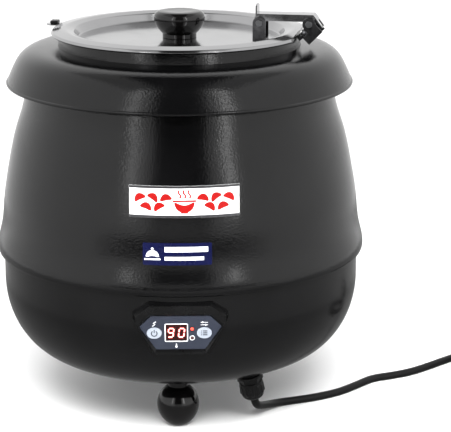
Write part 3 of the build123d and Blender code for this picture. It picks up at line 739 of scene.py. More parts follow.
RED_WINDOW = Finish(
    "red_display_window", "lens_red", (0.012, 0.0006, 0.0006), (0.025, 0.0015, 0.0012),
    low=0.06, high=0.1, patch=9.0, cell=2.0, depth=0.002,
)
RED_LENS = Finish(
    "lit_red_lens", "lens_red", (0.9, 0.05, 0.035), (0.95, 0.12, 0.08), low=0.1,
    high=0.16, patch=2.0, cell=0.5, depth=0.002, glow=0.9,
)
DARK_LENS = Finish(
    "unlit_lens", "lens_red", (0.06, 0.03, 0.035), (0.09, 0.05, 0.05), low=0.12,
    high=0.18, patch=2.0, cell=0.5, depth=0.002,
)
DIGIT = Finish(
    "lit_digit", "lens_red", (1.0, 0.5, 0.45), (1.0, 0.62, 0.58), low=0.3, high=0.4,
    patch=4.0, cell=0.4, depth=0.001, glow=1.1,
)
HALO = Finish(
    "digit_halo", "lens_red", (0.5, 0.012, 0.01), (0.6, 0.03, 0.02), low=0.2, high=0.3,
    patch=4.0, cell=0.4, depth=0.001, glow=0.5,
)
BOARD = Finish(
    "green_board_mask", "board_green", (0.01, 0.07, 0.025), (0.015, 0.1, 0.04),
    low=0.25, high=0.4, patch=4.0, relief=Relief.STRAIGHT, cell=0.5, depth=0.01,
)
COMPONENT = Finish(
    "black_component_case", "component_black", (0.015, 0.015, 0.016),
    (0.025, 0.025, 0.027), low=0.35, high=0.5, patch=4.0, cell=0.3, depth=0.008,
)
FIBRE = Finish(
    "glass_fibre_blanket", "glass_fibre", (0.72, 0.7, 0.55), (0.85, 0.83, 0.74),
    low=0.8, high=0.95, patch=6.0, relief=Relief.STRAIGHT, cell=0.8, depth=0.4,
)
STEATITE = Finish(
    "glazed_steatite", "steatite", (0.72, 0.7, 0.64), (0.8, 0.78, 0.74), low=0.2,
    high=0.35, patch=5.0, cell=0.6, depth=0.01,
)
SIGN_FACE = Finish(
    "white_sign_face", "sign_white", (0.86, 0.86, 0.86), (0.8, 0.8, 0.81), low=0.26,
    high=0.34, patch=20.0, cell=0.6, depth=0.004,
)
SIGN_RED = Finish(
    "red_sign_ink", "sign_white", (0.3, 0.003, 0.002), (0.26, 0.0025, 0.002), low=0.3,
    high=0.4, patch=8.0, cell=0.3, depth=0.002, ior=1.3,
)
SIGN_EDGE = Finish(
    "sign_border_ink", "sign_white", (0.022, 0.022, 0.024), (0.03, 0.03, 0.032),
    low=0.3, high=0.4, patch=8.0, cell=0.3, depth=0.002,
)
BADGE_FACE = Finish(
    "blue_badge_film", "badge_blue", (0.001, 0.0022, 0.026), (0.0015, 0.003, 0.036),
    low=0.22, high=0.3, patch=14.0, cell=0.4, depth=0.003, ior=1.38,
)
BADGE_INK = Finish(
    "white_badge_ink", "badge_blue", (0.8, 0.82, 0.86), (0.72, 0.75, 0.8), low=0.35,
    high=0.45, patch=5.0, cell=0.3, depth=0.002,
)
SLOT_FINISH = {
    "black_enamel": ENAMEL,
    "polished_steel": BRIGHT,
    "brushed_steel": BRUSHED,
    "zinc_steel": ZINC,
    "black_bakelite": BAKELITE,
    "black_nylon": NYLON,
    "black_rubber": RUBBER,
    "nickel_brass": BRASS,
    "label_grey": LABEL_FILM,
    "button_white": BUTTON,
    "lens_red": RED_WINDOW,
    "board_green": BOARD,
    "component_black": COMPONENT,
    "glass_fibre": FIBRE,
    "steatite": STEATITE,
    "sign_white": SIGN_FACE,
    "badge_blue": BADGE_FACE,
}


def dress(
    piece: bpy.types.Object, finish: Finish, body: str, *nodes: str
) -> bpy.types.Object:
    """Give a piece its finish, its body and the nodes that it stands for.

    Args:
        piece: The finished piece.
        finish: What it is covered with.
        body: The body that it moves with.
        nodes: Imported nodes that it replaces.

    Returns:
        The piece.
    """
    piece.data.materials.clear()
    piece.data.materials.append(finish.material())
    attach(piece, body)
    if nodes:
        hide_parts(*nodes)
    LOG.info("%s: %s, rides on %s", piece.name, finish.name, body)
    return piece


# --- studio ---------------------------------------------------------------------------


@dataclass
class Studio:
    """Camera, pale floor, white surroundings, two soft strips and a dark screen."""

    eye: Place = (0.0, -1.728, 0.6723)
    aim: Place = (0.02598, 0.96351, -0.26796)
    lens: float = 137.3
    floor_half: float = 14.0
    surround: float = 1.0
    strips: tuple[tuple[float, float, float], ...] = (
        (-32.0, 0.20, 2.6),
        (32.0, 0.20, 4.6),
    )
    strip_height: float = 2.6
    strip_distance: float = 2.5
    screen_half: float = 0.95
    screen_distance: float = 2.75
    screen_top: float = 3.6
    screen_foot: float = 0.5
    screen_reach: float = 1.4
    screen_radiance: float = 0.02
    skirt_radiance: float = 0.5
    apron: tuple[float, float] = (1.05, 3.4)
    apron_half: float = 1.5
    apron_height: float = 0.0015
    apron_radiance: float = 0.03
    # Painted shade: glossy-only floor rings, darkest near the kettle, stand in for the
    # floor's shadow as the kettle mirrors it.
    floor_shade_rings: tuple[tuple[float, float, float], ...] = (
        (0.0, 0.5, 0.28),
        (0.5, 0.95, 0.42),
        (0.95, 9.0, 0.92),
    )
    ring_height: float = 0.0006
    ring_step: float = 1e-4
    ring_points: int = 97
    ceiling: float = 3.7
    ceiling_half: float = 2.4
    ceiling_back: float = 2.2
    ceiling_radiance: float = 0.55
    backdrop: float = 1.25
    diffuse: float = 1.0
    strip_middle: float = 1.75
    key_at: Place = (0.0, -2.2, 2.5)
    key_size: tuple[float, float] = (2.4, 1.4)
    key_power: float = 200.0

    def camera(self) -> None:
        """Place the camera and make it the scene's."""
        data = bpy.data.cameras.new("camera")
        data.lens = self.lens
        data.sensor_width = 36.0
        data.clip_end = 100.0
        camera = bpy.data.objects.new("camera", data)
        camera.location = self.eye
        camera.rotation_euler = Vector(self.aim).to_track_quat("-Z", "Y").to_euler()
        bpy.context.scene.collection.objects.link(camera)
        bpy.context.scene.camera = camera

    def floor(self) -> None:
        """A large pale floor at height zero."""
        line = np.linspace(-self.floor_half, self.floor_half, 2)
        x, y = np.meshgrid(line, line, indexing="ij")
        points = np.stack([x, y, np.zeros_like(x)], axis=-1)
        floor = grid_mesh("pale_floor", points)
        if floor.data.polygons[0].normal.z < 0:
            floor.data.flip_normals()
        material = bpy.data.materials.new("pale_floor")
        material.use_nodes = True
        shader = material.node_tree.nodes["Principled BSDF"]
        shader.inputs["Base Color"].default_value = (0.93, 0.93, 0.93, 1)
        shader.inputs["Roughness"].default_value = 0.6
        shader.inputs["Specular IOR Level"].default_value = 0.2
        floor.data.materials.append(material)

    def card(self, name: str, points: np.ndarray, radiance: float) -> None:
        """An even card that only mirrored rays meet, so that it shows in gloss alone.

        Args:
            name: Name of the card.
            points: Its grid of points, in metres.
            radiance: How bright it looks.
        """
        card = grid_mesh(name, points)
        material = bpy.data.materials.new(name)
        material.use_nodes = True
        shader = material.node_tree.nodes["Principled BSDF"]
        shader.inputs["Base Color"].default_value = (0, 0, 0, 1)
        shader.inputs["Specular IOR Level"].default_value = 0.0
        shader.inputs["Emission Color"].default_value = (1, 1, 1, 1)
        shader.inputs["Emission Strength"].default_value = radiance
        card.data.materials.append(material)
        card.visible_camera = False
        card.visible_diffuse = False
        card.visible_shadow = False

    def cards(self) -> None:
        """Grey rings on the floor, a dark apron and screen, and a grey ceiling. The
        rings are painted floor shade, darkest near the kettle and seen in gloss alone.

        A ring's points are (r cos a, r sin a). The enamel mirrors the screen as a dark
        band, upright metal mirrors the apron, and the low wall mirrors the rings.
        """
        angle = np.linspace(0, TURN, self.ring_points)
        # Painted floor shade for reflections: the inner rings are the darker ones.
        for i, (inner, outer, radiance) in enumerate(self.floor_shade_rings):
            r = np.array([[inner], [outer]])
            z = np.full((2, self.ring_points), self.ring_height + i * self.ring_step)
            flat = np.stack([r * np.cos(angle), r * np.sin(angle), z], axis=-1)
            self.card(f"floor_ring_{i}", flat, radiance)
        front, foot, head = -self.screen_distance, self.screen_foot, self.screen_top
        apron = [(-y, self.apron_height) for y in self.apron]
        skirt = [(front, 0.0), (front, foot)]
        screen = [(front, foot), (front, head), (self.screen_reach, head + 0.01)]
        ceiling = [(front, self.ceiling), (self.ceiling_back, self.ceiling)]
        for name, half, line, radiance in (
            ("dark_apron", self.apron_half, apron, self.apron_radiance),
            ("grey_skirt", self.screen_half, skirt, self.skirt_radiance),
            ("dark_screen", self.screen_half, screen, self.screen_radiance),
            ("grey_ceiling", self.ceiling_half, ceiling, self.ceiling_radiance),
        ):
            self.card(name, self.strip_points(half, line), radiance)

    @staticmethod
    def strip_points(half: float, line: Sequence[tuple[float, float]]) -> np.ndarray:
        """A strip across X that follows a line of (y, z) points.

        Args:
            half: Half its width, in metres.
            line: The points, in metres.

        Returns:
            A grid of points, two across.
        """
        bent = np.asarray(line, float)
        parts = np.broadcast_arrays([[-half, half]], bent[:, :1], bent[:, 1:])
        return np.stack(parts, axis=-1)

    def lights(self) -> None:
        """White surroundings, and a tall soft strip on each side of the screen."""
        world = bpy.data.worlds.new("white_surroundings")
        bpy.context.scene.world = world
        world.use_nodes = True
        tree = world.node_tree
        background = tree.nodes["Background"]
        path = tree.nodes.new("ShaderNodeLightPath")
        level = tree.nodes.new("ShaderNodeMix")
        level.data_type = "FLOAT"
        level.inputs[2].default_value = self.surround
        level.inputs[3].default_value = self.backdrop
        soft = tree.nodes.new("ShaderNodeMix")
        soft.data_type = "FLOAT"
        soft.inputs[3].default_value = self.diffuse
        tree.links.new(path.outputs["Is Camera Ray"], level.inputs[0])
        tree.links.new(path.outputs["Is Diffuse Ray"], soft.inputs[0])
        tree.links.new(level.outputs[0], soft.inputs[2])
        tree.links.new(soft.outputs[0], background.inputs["Strength"])
        background.inputs["Color"].default_value = (1, 1, 1, 1)
        for side, width, radiance in self.strips:
            lamp = bpy.data.lights.new("soft_strip", "AREA")
            lamp.shape = "RECTANGLE"
            lamp.size, lamp.size_y = width, self.strip_height
            lamp.energy = radiance * math.pi * width * self.strip_height
            strip = bpy.data.objects.new("soft_strip", lamp)
            angle = math.radians(side)
            reach = self.strip_distance
            x, y = reach * math.sin(angle), -reach * math.cos(angle)
            strip.location = (x, y, self.strip_middle)
            target = Vector((-x, -y, 0))
            strip.rotation_euler = target.to_track_quat("-Z", "Y").to_euler()
            strip.visible_camera = False
            bpy.context.scene.collection.objects.link(strip)
        key = bpy.data.lights.new("front_key", "AREA")
        key.shape = "RECTANGLE"
        key.size, key.size_y = self.key_size
        key.energy = self.key_power
        lamp = bpy.data.objects.new("front_key", key)
        lamp.location = self.key_at
        lamp.rotation_euler = (-lamp.location).to_track_quat("-Z", "Y").to_euler()
        lamp.visible_glossy = False
        lamp.visible_camera = False
        bpy.context.scene.collection.objects.link(lamp)
        bpy.context.scene.view_settings.view_transform = "Standard"

    def build(self) -> None:
        """Set up everything that isn't part of the kettle."""
        self.camera()
        self.floor()
        self.cards()
        self.lights()


# --- mains lead -----------------------------------------------------------------------


@dataclass
class MainsLead:
    """Gland nut, lead, put-away coil, tie and plug. Sizes are in millimetres."""

    diameter: float = 8.0
    length: float = 1500.0
    route: tuple[Place, ...] = (
        (72.6, -96.5, 28.4),
        (74.5, -95.2, 19.3),
        (79.5, -84.0, 13.5),
        (88.0, -68.0, 8.0),
        (101.0, -53.5, 4.6),
        (120.0, -46.0, 4.0),
        (143.0, -37.5, 4.0),
        (165.0, -25.0, 4.0),
        (181.0, -10.5, 4.0),
        (193.0, 2.0, 4.0),
        (206.5, 15.5, 4.0),
        (228.0, 23.0, 4.0),
        (249.5, 33.0, 4.0),
        (271.0, 50.0, 4.0),
        (292.0, 68.5, 4.0),
        (313.0, 85.0, 4.0),
    )
    tail: tuple[Place, ...] = (
        (350.3, 113.5, 12.6),
        (361.3, 120.4, 15.4),
        (370.6, 126.2, 18.6),
    )
    coil_at: tuple[float, float] = (366.0, 62.0)
    coil_outer: float = 52.0
    coil_inner: float = 36.2
    coil_start: float = 130.0
    coil_end: float = 122.0
    coil_turns: int = 4
    points_a_turn: int = 16
    gland_at: Place = (67.5, -100.5, 56.3)
    gland_down: Place = (0.18, 0.14, -0.974)
    plug_azimuth: float = 32.0
    plug_radius: float = 18.5
    tie_radius: float = 44.0
    tie_middle: float = 8.6
    tie_reach: float = 7.7
    tie_azimuth: float = -20.0

    def coil_points(self) -> np.ndarray:
        """Points of the coil: in along one layer, up, and out along the next.

        The angle falls steadily, the radius goes from outer to inner and back, and the
        height goes up by one diameter around the middle.

        Returns:
            The points, in millimetres.
        """
        sweep = 360.0 * self.coil_turns + self.coil_start - self.coil_end
        count = round(self.points_a_turn * sweep / 360.0) + 1
        f = np.linspace(0, 1, count)
        angle = np.radians(self.coil_start - sweep * f)
        width = self.coil_outer - self.coil_inner
        radius = self.coil_inner + width * np.abs(2 * f - 1)
        radius /= 0.75 + 0.25 * math.cos(TURN / self.points_a_turn)
        lift = np.clip((f - 0.47) / 0.06, 0, 1)
        height = self.diameter / 2 + self.diameter * lift * lift * (3 - 2 * lift)
        x = self.coil_at[0] + radius * np.cos(angle)
        y = self.coil_at[1] + radius * np.sin(angle)
        return np.stack([x, y, height], axis=1)

    def lead(self) -> bpy.types.Object:
        """The lead as one smooth spline, from the gland to the plug.

        Returns:
            The curve.
        """
        points = np.concatenate([self.route, self.coil_points(), self.tail]) * MM
        curve = bpy.data.curves.new("mains_lead", "CURVE")
        curve.dimensions = "3D"
        curve.bevel_depth = self.diameter / 2 * MM
        curve.bevel_resolution = 6
        curve.use_fill_caps = True
        curve.resolution_u = 8
        line = curve.splines.new("NURBS")
        line.points.add(len(points) - 1)
        line.points.foreach_set("co", np.insert(points, 3, 1.0, axis=1).ravel())
        line.order_u = 3
        line.use_endpoint_u = True
        lead = bpy.data.objects.new("mains_lead", curve)
        bpy.context.scene.collection.objects.link(lead)
        return lead

    def plug_axis(self) -> Axis:
        """The line that the plug lies along."""
        angle = math.radians(self.plug_azimuth)
        return Axis(self.tail[-1], (math.cos(angle), math.sin(angle), 0.0))

    def plug(self) -> bpy.types.Object:
        """Moulded plug: ringed strain relief, shoulder, ribbed grip and face.

        The radius is the section's, times one less the depth of twenty grip ribs over
        the grip's length.

        Returns:
            The piece.
        """
        relief = spline([(4.2, -2.0), (5.8, 2.0), (7.2, 14.0), (8.6, 24.0)], 60)
        rings = 0.55 * np.clip(np.sin(relief[:, 1] * TURN / 4.4), -0.4, 1)
        relief[:, 0] += rings * (relief[:, 1] > 2.5) * (relief[:, 1] < 22)
        shoulder = spline(
            [(8.9, 24.4), (12.5, 27.5), (17.0, 38.0), (18.5, 47.0), (18.5, 68.0)], 60
        )
        shoulder[:, 0] = np.minimum(shoulder[:, 0], self.plug_radius)
        face = rounded([(18.5, 68.0), (18.5, 71.0), (0.0, 71.0)], [1.4])
        section = np.concatenate([[(0.0, -2.0)], relief, shoulder, face])

        def grip(angle: np.ndarray, distance: np.ndarray) -> np.ndarray:
            """Shallow grooves round the grip, fading at both ends."""
            start = np.clip((distance - 44) / 4, 0, 1)
            zone = start * np.clip((66 - distance) / 4, 0, 1)
            return 1 - 0.035 * zone * np.clip(np.cos(angle * 20), 0, 1)

        return self.plug_axis().turned("mains_plug", section, 160, grip, 40.0)

    def tie(self) -> bpy.types.Object:
        """Flat strap round the coil's turns: a superellipse loop, eight wide.

        Returns:
            The piece.
        """
        angle = np.linspace(0, TURN, 72, endpoint=False)
        half_u = (self.coil_outer - self.coil_inner) / 2 + self.diameter / 2 + 0.5
        c, s = np.cos(angle), np.sin(angle)
        across = np.sign(c) * np.sqrt(np.abs(c))
        up = np.sign(s) * np.sqrt(np.abs(s))
        section = np.array([(0.0, -4.0), (0.0, 4.0), (0.9, 4.0), (0.9, -4.0)])
        u = self.tie_radius + across[:, None] * (half_u + section[:, 0] - 0.2)
        z = self.tie_middle + up[:, None] * (self.tie_reach + section[:, 0])
        v = np.broadcast_to(section[:, 1], u.shape)
        way = math.radians(self.tie_azimuth)
        x = self.coil_at[0] + u * math.cos(way) - v * math.sin(way)
        y = self.coil_at[1] + u * math.sin(way) + v * math.cos(way)
        points = np.stack([x, y, z], axis=-1)
        return grid_mesh("coil_tie_strap", points * MM, True, True)

    def gland_nut(self) -> bpy.types.Object:
        """Clamping nut with twelve raised grips and a domed end.

        The radius is the section's, and the grips add up to a tenth of it where the
        cosine of twelve times the angle is above a threshold.

        Returns:
            The piece.
        """
        section = np.concatenate(
            [
                rounded([(9.9, 9.3), (12.0, 9.3), (12.0, 12.4)], [0.5]),
                [(11.7, 13.0), (11.7, 21.8)],
                spline([(11.6, 22.6), (10.6, 26.2), (8.0, 28.4), (4.9, 28.6)], 20),
                [(4.2, 28.0), (4.2, 20.0), (9.9, 19.0)],
            ]
        )

        def grips(angle: np.ndarray, distance: np.ndarray) -> np.ndarray:
            """Raised grips between the rim and the dome."""
            start = np.clip((distance - 12.6) / 0.8, 0, 1)
            zone = start * np.clip((23.4 - distance) / 2, 0, 1)
            return 1 + 0.1 * zone * np.clip(1.6 * np.cos(angle * 12) + 0.3, 0, 1)

        axis = Axis(self.gland_at, self.gland_down, (0.0, 1.0, 0.0))
        return axis.turned("gland_nut_cap", section, 288, grips, 45.0)

    def build(self) -> None:
        """Make the lead and everything on it."""
        nodes = ("power_cord", "cord_coil", "cord_tail")
        lead = dress(self.lead(), RUBBER, "kettle", *nodes)
        plug = dress(self.plug(), RUBBER, "kettle", "plug_body")
        tie = dress(self.tie(), NYLON, "kettle", "coil_tie")
        dress(self.gland_nut(), NYLON, "kettle", "gland_nut")
        dress(refined_copy("gland_body", 0.4), NYLON, "kettle")
        pins = dress(refined_copy("plug_pins", 0.0), BRASS, "kettle")


# --- kettle body ----------------------------------------------------------------------


@dataclass
class KettleBody:
    """The two drawn shells. Sizes are in millimetres."""

    outline: tuple[tuple[float, float], ...] = (
        (184.4, 164.0),
        (187.6, 164.6),
        (189.2, 171.4),
        (187.4, 181.0),
        (184.9, 191.4),
        (181.7, 218.4),
        (175.6, 255.4),
        (166.9, 292.4),
        (159.8, 314.4),
        (153.5, 340.0),
        (144.5, 355.2),
    )
    wall: float = 1.2
    lower_r: float = 183.2
    flat_r: float = 123.2
    corner_z: float = 134.5
    underside_z: float = 56.3
    service_r: float = 70.0
    lower_top: float = 177.0

    def side_line(self) -> np.ndarray:
        """The upper shell's outside, from the seam's lip to the shoulder."""
        return spline(self.outline, 120)

    def radius_at(self, height: np.ndarray) -> np.ndarray:
        """The upper shell's outside radius at given heights.

        Args:
            height: Heights in millimetres.

        Returns:
            Radii in millimetres.
        """
        line = self.side_line()
        return np.interp(height, line[:, 1], line[:, 0])

    def upper(self) -> bpy.types.Object:
        """Upper shell with the flange that carries the water bath.

        Returns:
            The piece.
        """
        shoulder = rounded([(144.5, 355.2), (138.5, 358.4), (133.7, 358.4)], [5.0])
        line = np.concatenate([self.side_line(), shoulder[1:]])
        return turned("upper_shell_drawn", walled(line, self.wall), segments=360)

    def lower(self) -> bpy.types.Object:
        """Lower bowl: a flat bottom, an elliptical corner and an upright wall.

        The corner is (flat + a sin t, corner height - b cos t), with t over a quarter.

        Returns:
            The piece.
        """
        t = np.linspace(0, math.pi / 2, 60)
        reach = self.lower_r - self.flat_r
        drop = self.corner_z - self.underside_z
        corner = np.stack(
            [self.flat_r + reach * np.sin(t), self.corner_z - drop * np.cos(t)], axis=1
        )
        line = np.concatenate(
            [
                [(self.service_r, self.underside_z)],
                corner,
                [(self.lower_r, 150.0), (self.lower_r, self.lower_top)],
            ]
        )
        return turned("lower_shell_drawn", walled(line, self.wall), segments=360)

    def build(self) -> None:
        """Make the shells and dress what lies under them."""
        dress(self.upper(), ENAMEL, "kettle", "upper_shell")
        dress(self.lower(), ENAMEL, "kettle", "lower_shell")
        dress(refined_copy("base_plate", 0.3), ZINC, "kettle")
        dress(refined_copy("base_screws", 0.6), ZINC, "kettle")
        dress(refined_copy("water_tank"), BRUSHED, "kettle")


@dataclass
class SoupPot:
    """The pot that lifts out: deep drawn, with a wide flat rim. In millimetres."""

    radius: float = 117.0
    floor_z: float = 120.0
    rim_z: float = 360.0
    rim_r: float = 135.5

    def build(self) -> None:
        """Make the pot."""
        path = [
            (0.0, self.floor_z),
            (self.radius, self.floor_z),
            (self.radius, self.rim_z),
            (self.rim_r, self.rim_z),
        ]
        section = walled(rounded(path, [16.0, 1.8], 14), 1.0)
        section[0, 0] = section[-1, 0] = 0.0
        pot = turned("soup_pot_drawn", section, segments=256)
        dress(pot, BRUSHED, "soup_pot", "insert_pot")


# --- collar and lid -------------------------------------------------------------------


@dataclass
class CollarRing:
    """Flared collar with a beaded edge, on the ring that carries the hinge."""

    outline: tuple[tuple[float, float], ...] = (
        (175.3, 337.0),
        (173.6, 341.6),
        (170.2, 349.4),
        (165.6, 358.4),
        (159.4, 365.9),
        (151.5, 370.3),
        (140.0, 372.6),
        (122.7, 374.1),
    )
    wall: float = 1.2
    bead_r: float = 1.8
    bead_at: tuple[float, float] = (174.1, 337.6)

    def collar(self) -> bpy.types.Object:
        """The collar: outside line, rolled bead at the foot, and inside line.

        Returns:
            The piece.
        """
        line = spline(self.outline, 120)
        inside = offset_line(line, self.wall)
        angle = np.linspace(math.radians(35), math.radians(-235), 20)
        bead = np.stack(
            [
                self.bead_at[0] + self.bead_r * np.cos(angle),
                self.bead_at[1] + self.bead_r * np.sin(angle),
            ],
            axis=1,
        )
        outer = line[line[:, 1] > bead[0, 1] + 0.3][::-1]
        inner = inside[inside[:, 1] > bead[-1, 1] + 0.3]
        section = np.concatenate([outer, bead, inner])
        return turned("flared_collar", section, segments=360)

    def build(self) -> None:
        """Make the collar and dress the neck and the hinge's fixed half."""
        dress(self.collar(), ENAMEL, "collar_ring", "collar")
        dress(refined_copy("neck_ring"), ENAMEL, "collar_ring")
        # The fixed clevis takes the darkened hinge steel, a painted shade.
        dress(refined_copy("neck_clevis", 0.35), CLEVIS_STEEL_PAINTED_SHADE, "collar_ring")
        dress(refined_copy("clevis_bolt", 0.3), ZINC, "collar_ring")
        dress(refined_copy("clevis_nut", 0.3), ZINC, "collar_ring")
        dress(refined_copy("neck_pin", 0.4), ZINC, "collar_ring")
        dress(refined_copy("hinge_arm", 0.35), BRIGHT, "hinge_arm")


@dataclass
class Lid:
    """Polished lid with its knob, hinge bracket and lifting tongue. In millimetres."""

    cut: float = 120.5
    thickness: float = 0.9

    def cover(self) -> bpy.types.Object:
        """The lid: sunken plate, riser, domed brim and rolled edge.

        Points past the straight cut are brought back to it, along the direction of the
        hinge.

        Returns:
            The piece.
        """
        path = [
            (128.4, 385.2),
            (129.8, 386.6),
            (128.2, 389.0),
            (115.0, 390.9),
            (106.6, 388.6),
            (102.6, 380.4),
            (0.0, 380.4),
        ]
        line = rounded(path, [1.0, 1.2, 12.0, 2.4, 2.4], 8)
        extra = np.stack([np.linspace(96.0, 4.0, 24), np.full(24, 380.4)], axis=1)
        line = np.concatenate([line[:-1], extra, line[-1:]])
        section = walled(line, self.thickness)
        way = np.array([math.cos(HINGE_AZIMUTH), math.sin(HINGE_AZIMUTH), 0.0])

        def cut_back(points: np.ndarray) -> np.ndarray:
            """Bring what is past the cut back to it."""
            past = np.clip(points @ way - self.cut, 0, None)
            return points - past[..., None] * way

        return turned("lid_cover", section, segments=360, shape=cut_back)

    def knob(self) -> bpy.types.Object:
        """Bakelite knob: neck, bowl, rounded edge and flat top.

        Returns:
            The piece.
        """
        bowl = spline(
            [(17.2, 384.6), (22.6, 391.0), (25.8, 400.0), (24.6, 404.6), (21.6, 406.9)],
            70,
            (0.72, 0.69),
            (-0.86, 0.5),
        )
        top = spline([(21.6, 406.9), (19.6, 407.25), (10.0, 407.3), (0.0, 407.35)], 24)
        neck = rounded([(0.0, 380.5), (17.2, 380.5), (17.2, 384.6)], [0.4])
        section = np.concatenate([neck, bowl[1:], top[1:]])
        return turned("bakelite_knob", section, segments=160)

    def build(self) -> None:
        """Make the lid and dress what is on it."""
        dress(self.cover(), POLISHED, "lid", "lid")
        dress(self.knob(), BAKELITE, "lid", "lid_knob")
        # The lid's clevis takes the darkened hinge steel, a painted shade.
        dress(refined_copy("lid_clevis", 0.35), CLEVIS_STEEL_PAINTED_SHADE, "lid")
        dress(refined_copy("clevis_rivets", 0.4), ZINC, "lid")
        dress(refined_copy("lid_pin", 0.4), ZINC, "lid")
        dress(refined_copy("lift_tongue", 0.3), BRIGHT, "lid")
        dress(refined_copy("tongue_grip", 0.0), NYLON, "lid")
        dress(refined_copy("knob_screw", 0.5), ZINC, "lid")
        dress(refined_copy("knob_washer", 0.2), ZINC, "lid")


@dataclass
class BallFoot:
    """One egg-shaped foot with its stub. In millimetres."""

    side: str
    at: tuple[float, float]

    def build(self) -> None:
        """Make the foot: clamped spline from the flat it stands on to the stub."""
        ball = spline(
            [(5.0, 0.0), (14.2, 5.0), (21.4, 23.0), (15.4, 37.6), (9.9, 41.6)],
            90,
            (1.0, 0.0),
            (-0.9, 0.44),
        )
        ball[:, 1] = np.clip(ball[:, 1], 0.0, None)
        stub = rounded([(9.9, 41.6), (9.9, 56.3), (0.0, 56.3)], [0.5])
        section = np.concatenate([[(0.0, 0.0)], ball, stub[1:]])
        foot = turned(f"ball_foot_{self.side}", section, self.at, 128)
        dress(foot, BAKELITE, "kettle", f"foot_{self.side}")


# --- printed work ---------------------------------------------------------------------


@dataclass
class Carrier:
    """A surface that takes printed shapes: flat at a depth, or the shell's wall."""

    depth: float | None = None
    body: KettleBody | None = None

    def place(self, flat: np.ndarray, height: float | np.ndarray) -> np.ndarray:
        """Lay flat points on the carrier, a little proud of it.

        On the wall, y is minus the root of (radius plus height) squared less x squared.

        Args:
            flat: Points as (x, z), in millimetres.
            height: How far in front of the carrier.

        Returns:
            Points as (x, y, z), in millimetres.
        """
        x, z = flat[..., 0], flat[..., 1]
        if self.body is None:
            y = np.broadcast_to(np.asarray(self.depth - height, float), x.shape)
        else:
            reach = self.body.radius_at(z) + height
            y = -np.sqrt(reach**2 - x**2)
        return np.stack([x, y, z], axis=-1)

    def filled(
        self, name: str, edge: np.ndarray, low: float, high: float, rings: int = 4
    ) -> bpy.types.Object:
        """A flat shape within an edge: rings from its middle out, front and back.

        Args:
            name: Name of the piece.
            edge: Closed outline as (x, z), in millimetres.
            low: Height of its back.
            high: Height of its front.
            rings: How many rings fill it.

        Returns:
            The piece.
        """
        middle = edge.mean(axis=0)
        share = np.concatenate([np.linspace(0, 1, rings + 1), [1.0, 0.0]])
        tall = np.concatenate([np.full(rings + 1, high), [low, low]])
        flat = middle + share[:, None, None] * (edge - middle)
        points = self.place(flat, tall[:, None])
        return grid_mesh(name, points * MM, False, True)

    def framed(
        self, name: str, outer: np.ndarray, inner: np.ndarray, low: float, high: float
    ) -> bpy.types.Object:
        """A flat band between two outlines with as many points.

        Args:
            name: Name of the piece.
            outer: Outer outline as (x, z), in millimetres.
            inner: Inner outline.
            low: Height of its back.
            high: Height of its front.

        Returns:
            The piece.
        """
        flat = np.stack([inner, outer, outer, inner])
        tall = np.array([high, high, low, low])
        points = self.place(flat, tall[:, None])
        return grid_mesh(name, points * MM, True, True)

    def stroke(
        self, name: str, line: np.ndarray, width: float, low: float, high: float
    ) -> bpy.types.Object:
        """A flat line of one width with square ends, front and back.

        Args:
            name: Name of the piece.
            line: Points along its middle as (x, z), in millimetres.
            width: Its width.
            low: Height of its back.
            high: Height of its front.

        Returns:
            The piece.
        """
        left = offset_line(line, width / 2)
        right = offset_line(line, -width / 2)
        flat = np.stack([left, right, right, left])
        tall = np.array([high, high, low, low])
        points = self.place(flat, tall[:, None])
        ends = points.mean(axis=0)
        first = np.broadcast_to(ends[:1], (4, 3))[:, None]
        last = np.broadcast_to(ends[-1:], (4, 3))[:, None]
        points = np.concatenate([first, points, last], axis=1)
        return grid_mesh(name, points * MM, True, False)


def box_edge(
    x: float, z: float, width: float, height: float, corner: float = 0.4, steps: int = 5
) -> np.ndarray:
    """Outline of a rectangle with rounded corners.

    Each corner is a quarter circle, and its ends join to the next one's.

    Args:
        x: Middle, across.
        z: Middle, up.
        width: Full width.
        height: Full height.
        corner: Radius of the corners.
        steps: Facets in a corner.

    Returns:
        Points as (x, z), with extra ones along the long sides.
    """
    angle = np.linspace(0, math.pi / 2, steps + 1)
    quarters = []
    for i in range(4):
        turn = angle + i * math.pi / 2
        sign_x = 1 if i in (0, 3) else -1
        sign_z = 1 if i in (0, 1) else -1
        centre_x = x + sign_x * (width / 2 - corner)
        centre_z = z + sign_z * (height / 2 - corner)
        arc = np.stack(
            [centre_x + corner * np.cos(turn), centre_z + corner * np.sin(turn)], axis=1
        )
        quarters.append(arc)
    whole = []
    for i in range(4):
        whole.append(quarters[i])
        a, b = quarters[i][-1], quarters[(i + 1) % 4][0]
        share = np.linspace(0, 1, 14)[1:-1, None]
        whole.append(a + share * (b - a))
    return np.concatenate(whole)


def oval_edge(
    x: float, z: float, width: float, height: float, count: int = 48
) -> np.ndarray:
    """Outline of an ellipse: (x + a cos t, z + b sin t)."""
    t = np.arange(count) * TURN / count
    return np.stack([x + width / 2 * np.cos(t), z + height / 2 * np.sin(t)], axis=1)


def arc_line(
    x: float, z: float, radius: float, first: float, last: float, count: int = 32
) -> np.ndarray:
    """Points of an arc between two angles in degrees."""
    t = np.radians(np.linspace(first, last, count))
    return np.stack([x + radius * np.cos(t), z + radius * np.sin(t)], axis=1)


def level_line(first: float, last: float, z: float, count: int) -> np.ndarray:
    """Points along a level line, from one x to another."""
    return np.stack([np.linspace(first, last, count), np.full(count, z)], axis=1)


